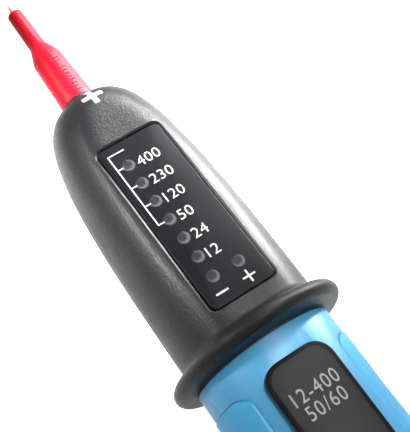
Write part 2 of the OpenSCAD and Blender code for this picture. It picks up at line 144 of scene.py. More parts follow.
@dataclass(frozen=True)
class Place:
    """Turns millimetres from the tester's axis into metres in the shared frame."""

    axis_height: float

    def at(self, x: float, y: float, z: float) -> Vector:
        """Returns the shared-frame point of a place given from the axis."""
        return Vector((x * MM, y * MM, z * MM + self.axis_height))


def clamp_power(base: float, power: float) -> float:
    """Returns a number that is never negative, raised to a power."""
    return max(base, 0.0) ** power


def soft_min(first: float, second: float, blend: float) -> float:
    """Returns the smaller of two heights, rounded where they meet.

    Args:
        first: One height.
        second: The other height.
        blend: How close the two must be before the corner between them is rounded.

    Returns:
        The smaller height, or a little less near the corner.
    """
    near = max(blend - abs(first - second), 0.0) / blend
    return min(first, second) - near * near * blend / 4


def turned_row(radius: float, y: float, turns: Sequence[float], rise: float = 1.0) -> list[Point]:
    """Lists points at angles round the axis, on a circle that may be drawn out in height."""
    return [(radius * math.cos(a), y, rise * radius * math.sin(a)) for a in turns]


def grid_faces(rows: int, columns: int, closed: bool) -> list[tuple[int, ...]]:
    """Lists the faces between rows of points.

    Args:
        rows: Number of rows.
        columns: Points in each row.
        closed: Whether the last point of a row joins its first.

    Returns:
        Faces as tuples of point numbers.
    """
    last = columns if closed else columns - 1
    return [(r * columns + c, r * columns + (c + 1) % columns,
             (r + 1) * columns + (c + 1) % columns, (r + 1) * columns + c)
            for r in range(rows - 1) for c in range(last)]


@dataclass
class Patchwork:
    """Collects patches of points and faces that become one closed mesh."""

    points: list[Point] = field(default_factory=list)
    faces: list[tuple[int, ...]] = field(default_factory=list)

    def add_rows(self, rows: Sequence[Sequence[Point]], closed: bool = False) -> None:
        """Adds a patch that spans rows of points.

        Args:
            rows: Rows with the same number of points each.
            closed: Whether each row is a ring.
        """
        start = len(self.points)
        for row in rows:
            self.points.extend(row)
        self.faces.extend(tuple(start + i for i in face)
                          for face in grid_faces(len(rows), len(rows[0]), closed))

    def add_disc(self, ring: Sequence[Point]) -> None:
        """Adds one flat face round a ring of points."""
        self.faces.append(tuple(range(len(self.points), len(self.points) + len(ring))))
        self.points.extend(ring)

    def build(self, name: str, place: Place, edge: Edge, cap_openings: bool = False) -> Object:
        """Makes the object.

        Args:
            name: The piece's name.
            place: The tester's place in the shared frame.
            edge: Where its shading stays sharp.
            cap_openings: Whether flat openings that are left get a face.

        Returns:
            The finished piece, at the origin, with its place in its mesh.
        """
        mesh = bpy.data.meshes.new(name)
        mesh.from_pydata([place.at(*point) for point in self.points], [], self.faces)
        work = bmesh.new()
        work.from_mesh(mesh)
        bmesh.ops.remove_doubles(work, verts=work.verts, dist=MERGE_DISTANCE)
        bmesh.ops.dissolve_degenerate(work, edges=work.edges, dist=MERGE_DISTANCE)
        if cap_openings:
            rim = [edge for edge in work.edges if edge.is_boundary]
            bmesh.ops.triangle_fill(work, edges=rim, use_beauty=True)
        bmesh.ops.recalc_face_normals(work, faces=work.faces)
        if work.calc_volume(signed=True) < 0:
            bmesh.ops.reverse_faces(work, faces=work.faces)
        work.to_mesh(mesh)
        work.free()
        return place_mesh(name, mesh, edge)


def add_object(name: str, data: ID) -> Object:
    """Puts a mesh, curve, lamp or camera in the scene, at the origin.

    Args:
        name: Name of the new object.
        data: Its mesh, curve, lamp or camera.

    Returns:
        The new object.
    """
    item = bpy.data.objects.new(name, data)
    bpy.context.scene.collection.objects.link(item)
    return item


def finished_mesh(name: str, work: BMesh) -> Mesh:
    """Turns worked faces into a mesh and frees the work.

    Args:
        name: Name of the mesh.
        work: The faces.

    Returns:
        The new mesh.
    """
    mesh = bpy.data.meshes.new(name)
    work.to_mesh(mesh)
    work.free()
    return mesh


def evaluated_mesh(item: Object) -> Mesh:
    """Returns a plain mesh of an object as its curve or modifiers make it."""
    graph = bpy.context.evaluated_depsgraph_get()
    return bpy.data.meshes.new_from_object(item.evaluated_get(graph))


def place_mesh(name: str, mesh: Mesh, edge: Edge) -> Object:
    """Puts a mesh in the scene with smooth shading that stops at sharp edges.

    Args:
        name: The piece's name.
        mesh: Its mesh, already in the shared frame.
        edge: Where its shading stays sharp.

    Returns:
        The new object.
    """
    mesh.shade_smooth()
    mesh.set_sharp_from_angle(angle=math.radians(edge.value))
    return add_object(name, mesh)


def copy_of_node(node: Object, name: str, edge: Edge) -> Object:
    """Copies a CAD node with its loose triangles merged and its flat faces made whole.

    Args:
        node: The CAD node's object.
        name: Name of the copy.
        edge: Where its shading stays sharp.

    Returns:
        The copy, which can be dressed and can stand for the node.
    """
    work = bmesh.new()
    work.from_mesh(node.data)
    bmesh.ops.remove_doubles(work, verts=work.verts, dist=NODE_MERGE_DISTANCE)
    angle = math.radians(FLAT_ANGLE)
    bmesh.ops.dissolve_limit(work, angle_limit=angle, verts=work.verts, edges=work.edges)
    mesh = finished_mesh(name, work)
    mesh.materials.clear()
    return place_mesh(name, mesh, edge)


def round_edges(piece: Object, width: float) -> None:
    """Gives a piece's sharp edges a small round.

    Args:
        piece: The piece.
        width: Width of the round in millimetres.
    """
    bevel = piece.modifiers.new("edge_round", "BEVEL")
    bevel.width = width * MM
    bevel.segments = ROUND_FACES
    bevel.limit_method = "ANGLE"
    bevel.angle_limit = math.radians(ROUND_ANGLE)
    bevel.harden_normals = True
    bevel.use_clamp_overlap = True


def lathe(profile: Sequence[Spot], steps: int) -> Patchwork:
    """Turns a closed outline round the tester's axis.

    Args:
        profile: Points of the outline, as radius and place along the axis, in order.
        steps: Faces round the axis.

    Returns:
        The turned shape.
    """
    turns = [math.tau * i / steps for i in range(steps)]
    rows = [turned_row(radius, y, turns) for radius, y in [*profile, profile[0]]]
    work = Patchwork()
    work.add_rows(rows, closed=True)
    return work


def between(start: Spot, end: Spot, steps: int) -> list[Spot]:
    """Lists the points that cut a straight line into equal steps, without its ends."""
    return [(start[0] + (end[0] - start[0]) * k / steps, start[1] + (end[1] - start[1]) * k / steps)
            for k in range(1, steps)]


def arc(centre: Spot, radius: float, start: float, end: float, steps: int) -> list[Spot]:
    """Lists points of an arc in the plane of radius and place along the axis.

    Args:
        centre: Its centre.
        radius: Its radius.
        start: First angle in degrees, from the radial direction.
        end: Last angle in degrees.
        steps: Number of chords.

    Returns:
        The points, with both ends.
    """
    turns = [math.radians(start + (end - start) * i / steps) for i in range(steps + 1)]
    return [(centre[0] + radius * math.cos(a), centre[1] + radius * math.sin(a)) for a in turns]


@dataclass(frozen=True)
class RoundedLoop:
    """A rounded rectangle as a ring of points, from the middle of its lower right corner."""

    half: float
    low: float
    high: float
    corner: float
    arc_steps: int = 8
    across_steps: int = 80
    along_steps: int = 84

    def points(self, outset: float = 0.0) -> list[Spot]:
        """Lists the ring's points.

        Args:
            outset: How far they are moved outwards.

        Returns:
            The points in order, clockwise.
        """
        x, low, high = self.half - self.corner, self.low + self.corner, self.high - self.corner
        corners = [(x, low, -HALF_CORNER), (-x, low, -3 * HALF_CORNER), (-x, high, 3 * HALF_CORNER),
                   (x, high, HALF_CORNER)]
        radius = self.corner + outset
        ring: list[Spot] = []
        for i, (x, y, turn) in enumerate(corners):
            after_x, after_y, after_turn = corners[(i + 1) % len(corners)]
            leave = self.half_corner(x, y, turn, radius)
            enter = self.half_corner(after_x, after_y, after_turn + HALF_CORNER, radius)[:-1]
            steps = self.across_steps if i % 2 == 0 else self.along_steps
            ring += leave + between(leave[-1], enter[0], steps) + enter
        return ring

    def half_corner(self, x: float, y: float, turn: float, radius: float) -> list[Spot]:
        """Lists half a corner's points round its centre, clockwise from an angle in degrees."""
        angles = [math.radians(turn - HALF_CORNER * k / self.arc_steps)
                  for k in range(self.arc_steps + 1)]
        return [(x + radius * math.cos(a), y + radius * math.sin(a)) for a in angles]

    @property
    def across(self) -> int:
        """Number of steps along a short side, with its two half corners."""
        return self.across_steps + 2 * self.arc_steps

    @property
    def along(self) -> int:
        """Number of steps along a long side, with its two half corners."""
        return self.along_steps + 2 * self.arc_steps


@dataclass(frozen=True)
class Lettering:
    """Plain numbers printed in thin ink.

    The height and the ink's thickness are millimetres. The stretch is the letters' width against
    the font's own, and the weight is how much bolder they are, as a share of their height. The
    font share is the size of the font against that height, before it is scaled to fit.
    """

    height: float
    stretch: float
    weight: float
    spacing: float
    ink: float = 0.03
    font_share: float = 1.4

    def mesh(self, text: str) -> Mesh:
        """Makes the mesh of a plain number, with its lower left corner at the origin.

        Args:
            text: The number.

        Returns:
            A thin mesh in millimetres.
        """
        curve = bpy.data.curves.new("number", "FONT")
        curve.body = text
        curve.size = self.height * self.font_share
        curve.offset = self.weight * self.height
        curve.extrude = self.ink / 2
        curve.space_character = self.spacing
        holder = add_object("number", curve)
        mesh = evaluated_mesh(holder)
        bpy.data.objects.remove(holder)
        bpy.data.curves.remove(curve)
        spots = [v.co for v in mesh.vertices]
        low = Vector((min(p.x for p in spots), min(p.y for p in spots), 0))
        scale = self.height / (max(p.y for p in spots) - low.y)
        shape = Matrix.Diagonal((scale * self.stretch, scale, 1, 1))
        mesh.transform(shape @ Matrix.Translation(-low))
        return mesh

    def print_on(self, work: BMesh, text: str, left: float | None, low: float) -> None:
        """Adds a number to others, on a flat plane in millimetres.

        Args:
            work: The numbers so far.
            text: The number.
            left: Where it starts, or None to centre it.
            low: Where its foot stands.
        """
        mesh = self.mesh(text)
        if left is None:
            left = -max(v.co.x for v in mesh.vertices) / 2
        mesh.transform(Matrix.Translation((left, low, 0)))
        work.from_mesh(mesh)
        bpy.data.meshes.remove(mesh)


# ---------------------------------------------------------------- materials


# The standard curve between a colour's 0 to 255 values and linear light.
CHANNEL_MOST = 255
SRGB_KNEE = 0.04045
SRGB_SLOPE = 12.92
SRGB_OFFSET = 0.055
SRGB_POWER = 2.4

# The noise values that each effect spreads from none to full: nearly all of them for the grain, and
# only the highest for rubs and dust, which stay patchy.
NOISE_SPAN = (0.3, 0.7)
RUB_SPAN = (0.62, 0.78)
DUST_SPAN = (0.5, 0.8)

# Dust grows between these two heights of a face's normal, which is 1 where the face looks up.
FACING_UP = (0.2, 1.0)
DUST_SCALE = 90.0
DUST_COLOUR = (0.55, 0.54, 0.52, 1.0)

# Rub marks are long in Y, along the tester.
STREAK_STRETCH = (1.0, 0.12, 1.0)

# The numbers of a Mix node's colour sockets, because its other sockets have the same names.
MIX_SHARE, MIX_FIRST, MIX_SECOND, MIX_RESULT = 0, 6, 7, 2

# A seam is this many grain heights deep, and wears pale or gathers dark dirt.
SEAM_DEPTH = 4.0
SEAM_PALE = (0.4, 0.4, 0.4, 1.0)
SEAM_DARK = (0.0, 0.0, 0.0, 1.0)


def linear(value: float) -> float:
    """Turns one channel's value of 0 to 255 into linear light.

    Args:
        value: The value.

    Returns:
        The light, from 0 to 1.
    """
    share = value / CHANNEL_MOST
    if share <= SRGB_KNEE:
        return share / SRGB_SLOPE
    return ((share + SRGB_OFFSET) / (1 + SRGB_OFFSET)) ** SRGB_POWER


def paint(red: float, green: float, blue: float) -> Colour:
    """Turns a colour of 0 to 255 a channel into linear light."""
    return (linear(red), linear(green), linear(blue))


class Nodes:
    """Adds and joins the nodes of one tree."""

    def __init__(self, tree: NodeTree) -> None:
        """Starts on an empty tree."""
        self.tree = tree
        self.tree.nodes.clear()

    def add(self, kind: str, inputs: dict[str | int, object] | None = None,
            **settings: object) -> Node:
        """Adds a node.

        Args:
            kind: Its type, such as ShaderNodeMath.
            inputs: Values or sockets for its inputs, by name or number.
            settings: Its own properties.

        Returns:
            The new node.
        """
        node = self.tree.nodes.new(kind)
        for key, value in settings.items():
            setattr(node, key, value)
        for key, value in (inputs or {}).items():
            if isinstance(value, Socket):
                self.tree.links.new(value, node.inputs[key])
            else:
                node.inputs[key].default_value = value
        return node

    def math(self, operation: str, *values: object, clamp: bool = False) -> Socket:
        """Adds a Math node and returns its result."""
        inputs = dict(enumerate(values))
        return self.add("ShaderNodeMath", inputs, operation=operation, use_clamp=clamp).outputs[0]

    def mix(self, share: object, first: object, second: object) -> Socket:
        """Adds a Mix node for two colours and returns its result."""
        inputs = {MIX_SHARE: share, MIX_FIRST: first, MIX_SECOND: second}
        return self.add("ShaderNodeMix", inputs, data_type="RGBA").outputs[MIX_RESULT]

    def own_place(self) -> Socket:
        """Returns the place on the piece in its own coordinates."""
        return self.add("ShaderNodeTexCoord").outputs["Object"]

    def height(self, vector: object) -> Socket:
        """Returns the Z value of a place or a direction."""
        return self.add("ShaderNodeSeparateXYZ", {0: vector}).outputs[2]

    def noise(self, scale: object, detail: float, roughness: float = 0.55,
              place: Socket | None = None) -> Socket:
        """Adds a Noise texture, on the piece's own coordinates unless others are given."""
        return self.add("ShaderNodeTexNoise", {"Vector": place or self.own_place(), "Scale": scale,
                                               "Detail": detail, "Roughness": roughness}).outputs[0]

    def spread(self, value: object, low: object, high: object, span: Spot = (0.0, 1.0)) -> Socket:
        """Adds a Map Range node, which turns a span of values into low to high."""
        return self.add("ShaderNodeMapRange", {
            "Value": value, "From Min": span[0], "From Max": span[1], "To Min": low,
            "To Max": high}).outputs[0]


class Effect:
    """A shader node group for an effect that several finishes share, built once.

    Each kind names its inputs with their starting values, where three numbers make a vector, and
    its outputs, which are all numbers, and adds its own nodes in `fill`.
    """

    name = "effect"
    inputs: dict[str, float | Point] = {}
    outputs: tuple[str, ...] = ()

    def fill(self, n: Nodes, at: Sockets) -> Sockets:
        """Adds the effect's own nodes and returns a socket for each output by name."""
        raise NotImplementedError

    def tree(self) -> NodeTree:
        """Builds the group, or finds the one that was built before.

        Returns:
            The group.
        """
        if self.name in bpy.data.node_groups:
            return bpy.data.node_groups[self.name]
        tree = bpy.data.node_groups.new(self.name, "ShaderNodeTree")
        nodes = Nodes(tree)
        for label, value in self.inputs.items():
            kind = "NodeSocketVector" if isinstance(value, tuple) else "NodeSocketFloat"
            tree.interface.new_socket(label, in_out="INPUT", socket_type=kind).default_value = value
        for label in self.outputs:
            tree.interface.new_socket(label, in_out="OUTPUT", socket_type="NodeSocketFloat")
        entry = nodes.add("NodeGroupInput")
        results = self.fill(nodes, {label: entry.outputs[label] for label in self.inputs})
        nodes.add("NodeGroupOutput", dict(results))
        return tree

    def place(self, n: Nodes, values: dict[str, float | Point]) -> Sockets:
        """Places the group in a material with its own values and returns its outputs by name."""
        node = n.add("ShaderNodeGroup", values, node_tree=self.tree())
        return {label: node.outputs[label] for label in self.outputs}


class MouldedGrain(Effect):
    """The fine spark-eroded grain of moulded plastic and its faint clouding."""

    name = "moulded_grain"
    inputs = {"Grain Scale": 2600.0, "Cloud Scale": 60.0, "Speckle": 0.1, "Clouding": 0.05,
              "Rough Spread": 0.03}
    outputs = ("Height", "Tone", "Rough Shift")

    def fill(self, n: Nodes, at: Sockets) -> Sockets:
        """Adds a fine noise for the grain and a wide one for the clouding.

        Args:
            n: Adds nodes to the group.
            at: The group's inputs by name.

        Returns:
            A socket for each output by name.
        """
        fine = n.noise(at["Grain Scale"], detail=3.0, roughness=0.6)
        cloud = n.noise(at["Cloud Scale"], detail=2.0)
        speck = n.spread(fine, -1.0, 1.0, NOISE_SPAN)
        patch = n.spread(cloud, -1.0, 1.0, NOISE_SPAN)
        tone = n.math("ADD", n.math("MULTIPLY", speck, at["Speckle"]),
                      n.math("MULTIPLY", patch, at["Clouding"]))
        return {"Height": fine, "Tone": n.math("ADD", tone, 1.0),
                "Rough Shift": n.math("MULTIPLY", n.math("ADD", patch, speck), at["Rough Spread"])}


class HandlingMarks(Effect):
    """Faint rub marks along the tester, and dust on what faces up."""

    name = "handling_marks"
    inputs = {"Streak Scale": 700.0, "Rub Amount": 0.1, "Dust Amount": 0.02}
    outputs = ("Rub", "Dust")

    def fill(self, n: Nodes, at: Sockets) -> Sockets:
        """Adds a noise drawn out along the tester for the rubs and a patchy one for the dust.

        Args:
            n: Adds nodes to the group.
            at: The group's inputs by name.

        Returns:
            A socket for each output by name.
        """
        stretch = {"Vector": n.own_place(), "Scale": STREAK_STRETCH}
        drawn = n.add("ShaderNodeMapping", stretch).outputs[0]
        streak = n.noise(at["Streak Scale"], detail=2.0, roughness=0.5, place=drawn)
        up = n.height(n.add("ShaderNodeNewGeometry").outputs["Normal"])
        patch = n.spread(n.noise(DUST_SCALE, detail=4.0, roughness=0.7), 0.0, 1.0, DUST_SPAN)
        dust = n.math("MULTIPLY", n.spread(up, 0.0, 1.0, FACING_UP), patch)
        return {"Rub": n.math("MULTIPLY", n.spread(streak, 0.0, 1.0, RUB_SPAN), at["Rub Amount"]),
                "Dust": n.math("MULTIPLY", dust, at["Dust Amount"])}


class PartingSeam(Effect):
    """The line where two moulded halves meet."""

    name = "parting_seam"
    inputs = {"Seam Height": 0.0254, "Seam Width": 0.00025}
    outputs = ("Line",)

    def fill(self, n: Nodes, at: Sockets) -> Sockets:
        """Fades the line out with the distance from the seam's height.

        Args:
            n: Adds nodes to the group.
            at: The group's inputs by name.

        Returns:
            A socket for each output by name.
        """
        away = n.math("ABSOLUTE", n.math("SUBTRACT", n.height(n.own_place()), at["Seam Height"]))
        fade = n.math("DIVIDE", away, at["Seam Width"])
        return {"Line": n.math("SUBTRACT", 1.0, fade, clamp=True)}


class RoundSpot(Effect):
    """A soft round spot seen from the front."""

    name = "round_spot"
    inputs = {"Centre": (0.0, 0.0, 0.0), "Radius": 0.0025, "Softness": 0.0005}
    outputs = ("Mask",)

    def fill(self, n: Nodes, at: Sockets) -> Sockets:
        """Fades the spot out with the distance from its centre, leaving height out.

        Args:
            n: Adds nodes to the group.
            at: The group's inputs by name.

        Returns:
            A socket for each output by name.
        """
        flat = n.add("ShaderNodeVectorMath", {0: n.own_place(), 1: (1.0, 1.0, 0.0)},
                     operation="MULTIPLY").outputs[0]
        away = n.add("ShaderNodeVectorMath", {0: flat, 1: at["Centre"]},
                     operation="DISTANCE").outputs["Value"]
        inside = n.math("SUBTRACT", at["Radius"], away)
        return {"Mask": n.math("DIVIDE", inside, at["Softness"], clamp=True)}


@dataclass(frozen=True)
class Finish:
    """A surface finish. Colours are linear light and lengths are millimetres.

    Its material's name ends in _finish, so that it never meets a plain material of the CAD model.
    """

    name: str
    colour: Colour
    rough: float
    grain: float = 0.35
    grain_height: float = 0.02
    speckle: float = 0.08
    cloud: float = 14.0
    clouding: float = 0.05
    rough_spread: float = 0.03
    rub: float = 0.06
    dust: float = 0.0
    metal: float = 0.0
    specular: float = 0.5
    coat: float = 0.0
    coat_rough: float = 0.2
    seam_height: float | None = None
    seam_tint: float = 0.0

    def build(self) -> Material:
        """Makes the material, or finds the one that was made before.

        Returns:
            The material.
        """
        title = f"{self.name}_finish"
        if title in bpy.data.materials:
            return bpy.data.materials[title]
        material = bpy.data.materials.new(title)
        material.use_nodes = True
        n = Nodes(material.node_tree)
        grain = MouldedGrain().place(n, {
            "Grain Scale": PER_METRE / self.grain, "Cloud Scale": PER_METRE / self.cloud,
            "Speckle": self.speckle, "Clouding": self.clouding, "Rough Spread": self.rough_spread})
        marks = HandlingMarks().place(n, {"Rub Amount": self.rub, "Dust Amount": self.dust})
        colour = n.add("ShaderNodeVectorMath", {0: self.colour, "Scale": grain["Tone"]},
                       operation="SCALE").outputs[0]
        tint = n.mix(marks["Dust"], colour, DUST_COLOUR)
        rough = n.math("ADD", grain["Rough Shift"], self.rough)
        rough = n.math("SUBTRACT", rough, marks["Rub"], clamp=True)
        height = grain["Height"]
        if self.seam_height is not None:
            line = PartingSeam().place(n, {"Seam Height": self.seam_height})["Line"]
            height = n.math("SUBTRACT", height, n.math("MULTIPLY", line, SEAM_DEPTH))
            goal = SEAM_PALE if self.seam_tint > 0 else SEAM_DARK
            tint = n.mix(n.math("MULTIPLY", line, abs(self.seam_tint)), tint, goal)
        bump = n.add("ShaderNodeBump", {"Height": height, "Distance": self.grain_height * MM,
                                        "Strength": 1.0})
        shader = n.add("ShaderNodeBsdfPrincipled", {
            "Base Color": self.surface_tint(n, tint), "Roughness": rough, "Normal": bump.outputs[0],
            "Metallic": self.metal, "Specular IOR Level": self.specular, "Coat Weight": self.coat,
            "Coat Roughness": self.coat_rough, "Alpha": self.surface_alpha(n)})
        n.add("ShaderNodeOutputMaterial", {0: shader.outputs[0]})
        return material

    def surface_tint(self, n: Nodes, tint: Socket) -> Socket:
        """Returns the colour that shows; a plain finish keeps its tint as it is."""
        return tint

    def surface_alpha(self, n: Nodes) -> float | Socket:
        """Returns how much of the surface shows; a plain finish shows all of it."""
        return 1.0


@dataclass(frozen=True)
class SmokedFinish(Finish):
    """A dark window that lets the lamps behind it show as soft round spots, each with a painted
    highlight along its lower right.
    """

    spots: tuple[Spot, ...] = ()
    spot_radius: float = 2.35
    spot_soft: float = 0.5
    spot_alpha: float = 0.88
    spot_tone: Colour = paint(26, 26, 28)
    # Painted highlight: a crescent of this tone along each disc's lower right stands in for the
    # glint on the lens.
    painted_glint_tone: Colour = paint(60, 61, 63)
    painted_glint_shift: Spot = (-0.35, 0.45)
    painted_glint_radius: float = 2.1
    painted_glint_soft: float = 0.9

    def spot_mask(self, n: Nodes, shift: Spot, radius: float, soft: float) -> float | Socket:
        """Masks a soft disc over each lamp.

        Args:
            n: Adds nodes to the material.
            shift: How far the discs are moved, in millimetres.
            radius: Their radius in millimetres.
            soft: Width of their soft edge in millimetres.

        Returns:
            A socket that is 1 inside the discs and 0 outside.
        """
        mask: float | Socket = 0.0
        for x, y in self.spots:
            centre = ((x + shift[0]) * MM, (y + shift[1]) * MM, 0.0)
            spot = RoundSpot().place(n, {"Centre": centre, "Radius": radius * MM,
                                         "Softness": soft * MM})
            mask = n.math("MAXIMUM", mask, spot["Mask"])
        return mask

    def disc(self, n: Nodes) -> float | Socket:
        """Masks the whole disc over each lamp."""
        return self.spot_mask(n, (0.0, 0.0), self.spot_radius, self.spot_soft)

    def surface_tint(self, n: Nodes, tint: Socket) -> Socket:
        """Lightens the window over each lamp and paints a highlight along each disc's lower right.

        Args:
            n: Adds nodes to the material.
            tint: The window's own colour.

        Returns:
            The colour that shows.
        """
        disc = self.disc(n)
        # The painted highlight is the disc less this shifted inner disc.
        inner = self.spot_mask(n, self.painted_glint_shift, self.painted_glint_radius, self.painted_glint_soft)
        pale = n.mix(disc, tint, (*self.spot_tone, 1.0))
        return n.mix(n.math("SUBTRACT", disc, inner, clamp=True), pale, (*self.painted_glint_tone, 1.0))

    def surface_alpha(self, n: Nodes) -> Socket:
        """Clears the window a little in a soft disc over each lamp."""
        return n.spread(self.disc(n), 1.0, self.spot_alpha)


@dataclass(frozen=True)
class ShadedEdgePlateFinish(Finish):
    """A plate whose rounded edge is painted darker, a painted shade where it turns away from the
    front.
    """

    # Painted shade: the plate's rounded edge turns to this darker black as its normal turns from
    # the front.
    edge_shade_tone: Colour = paint(9, 10, 12)
    edge_shade_span: Spot = (0.88, 0.96)

    def surface_tint(self, n: Nodes, tint: Socket) -> Socket:
        """Keeps the tint where the plate faces forward and paints shade on its edge, darker the
        more it turns away.
        """
        facing = n.height(n.add("ShaderNodeTexCoord").outputs["Normal"])
        return n.mix(n.spread(facing, 0.0, 1.0, self.edge_shade_span), (*self.edge_shade_tone, 1.0), tint)


@dataclass(frozen=True)
class Finishes:
    """Every finish of the tester, each under the name of the piece or stuff that it dresses."""

    seam_height: float
    lamp_spots: tuple[Spot, ...]
    print_white: Finish = Finish("print_white", paint(132, 134, 135), rough=0.55, grain=0.25,
                                 grain_height=0.004, speckle=0.03, rub=0.0)
    soft_black: Finish = Finish("soft_black", paint(28, 28, 30), rough=0.62, grain=0.5, rub=0.03)
    # Painted shade: a near-black, dull bead fills the groove round the label plate and stands in
    # for the shade in that gap.
    gap_shade_black: Finish = Finish("gap_shade_black", paint(3, 3, 4), rough=0.5, grain=0.5,
                                grain_height=0.01, rub=0.0, specular=0.1)
    holder: Finish = Finish("black_holder", paint(24, 24, 26), rough=0.7, grain=0.4)
    lens: Finish = Finish("led_lens", paint(150, 153, 158), rough=0.18, grain=0.9,
                          grain_height=0.002, speckle=0.02, clouding=0.08, cloud=3.0, rub=0.0,
                          coat=0.4)
    red_sleeve: Finish = Finish("red_sleeve", paint(182, 10, 31), rough=0.42, grain=0.5,
                                grain_height=0.006, speckle=0.03, clouding=0.04, specular=0.12)
    blue_pad: Finish = Finish("blue_pad", paint(60, 156, 203), rough=0.5, grain=0.6,
                              grain_height=0.012, speckle=0.03, clouding=0.02, rub=0.05,
                              specular=0.45)
    label: Finish = ShadedEdgePlateFinish("label_black", paint(22, 21, 22), rough=0.5, grain_height=0.03,
                                speckle=0.14, rub=0.03, specular=0.2)
    steel: Finish = Finish("needle_steel", paint(142, 136, 131), rough=0.34, metal=1.0, grain=0.6,
                           grain_height=0.003, speckle=0.04, rub=0.08)
    screw: Finish = Finish("screw_steel", paint(170, 172, 176), rough=0.34, metal=1.0, grain=0.5,
                           grain_height=0.006, speckle=0.06)
    brass: Finish = Finish("brass", paint(206, 166, 92), rough=0.28, metal=1.0, grain=0.6,
                           grain_height=0.004, speckle=0.05)
    board: Finish = Finish("board_green", paint(30, 104, 62), rough=0.32, grain=0.8,
                           grain_height=0.006, speckle=0.06, coat=0.3)
    resistor: Finish = Finish("resistor_blue", paint(70, 116, 172), rough=0.36, grain=0.6,
                              clouding=0.08)
    ptc: Finish = Finish("ptc_ochre", paint(196, 120, 48), rough=0.42, grain=0.7, clouding=0.1)
    chip: Finish = Finish("chip_black", paint(34, 34, 35), rough=0.55, grain=0.25)
    can: Finish = Finish("can_blue", paint(38, 52, 96), rough=0.3, grain=0.8, grain_height=0.003)
    terminal: Finish = Finish("terminal_green", paint(46, 124, 78), rough=0.45, grain=0.5)

    @property
    def black_shell(self) -> Finish:
        """Fine-grained matt black housing, whose seam is worn pale."""
        return Finish("black_shell", paint(6, 6, 8), rough=0.44, grain=0.8, grain_height=0.16,
                      speckle=0.3, clouding=0.06, rough_spread=0.04, rub=0.04, dust=0.003,
                      specular=0.2, seam_height=self.seam_height, seam_tint=0.3)

    @property
    def blue_shell(self) -> Finish:
        """Satin light blue handle, whose seam is dark."""
        return Finish("blue_shell", paint(60, 143, 186), rough=0.4, grain=0.5, grain_height=0.008,
                      speckle=0.02, clouding=0.02, rub=0.05, specular=0.6,
                      seam_height=self.seam_height, seam_tint=-0.35)

    @property
    def window(self) -> Finish:
        """Smoked window plate."""
        return SmokedFinish("smoked_window", paint(4, 4, 6), rough=0.3, grain=1.2,
                            grain_height=0.004, speckle=0.02, clouding=0.04, rough_spread=0.01,
                            rub=0.0, specular=0.1, spots=self.lamp_spots)


# ---------------------------------------------------------------- what every sub-assembly shares


@dataclass
class Assembly:
    """A sub-assembly: its place, the CAD nodes and the finishes that it draws on."""

    place: Place
    nodes: dict[str, Object]
    finishes: Finishes

    def dress(self, piece: Object, finish: Finish, slot: str | None = None,
              body: Body = Body.TESTER, node: str | None = None) -> None:
        """Gives a new piece its material and its body.

        Args:
            piece: The piece.
            finish: Its finish.
            slot: The record's material slot that it stands for, where that isn't its finish's name;
                not used.
            body: The body that it rides on.
            node: The CAD node that it stands for, if there is one.
        """
        slot = slot or finish.name
        piece.data.materials.clear()
        piece.data.materials.append(finish.build())
        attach(piece, body.value)
        if node is not None:
            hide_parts(node)
        log.info("%s: %d faces on %s", piece.name, len(piece.data.polygons), body.value)

    def paint_node(self, node: str, finish: Finish) -> None:
        """Gives a CAD node that stays as it is a better material.

        Args:
            node: The CAD node.
            finish: Its finish.
        """
        holder = self.nodes[node]
        material = finish.build()
        if not holder.material_slots:
            holder.data.materials.append(material)
        for slot in holder.material_slots:
            slot.material = material
        log.info("%s keeps its CAD shape", node)

    def dressed_copy(self, node: str, name: str, finish: Finish, rounding: float = 0.0,
                     edge: Edge = Edge.CRISP) -> None:
        """Copies a CAD node, rounds its edges and lets the copy stand for it.

        Args:
            node: The CAD node.
            name: Name of the copy.
            finish: Its finish.
            rounding: Width of the edge round in millimetres.
            edge: Where its shading stays sharp.
        """
        piece = copy_of_node(self.nodes[node], name, edge)
        if rounding > 0:
            round_edges(piece, rounding)
        self.dress(piece, finish, node=node)


# ---------------------------------------------------------------- head


# What the columns of the outline's table hold: length along it, half width, place on the axis.
RUN, HALF, ALONG = range(3)


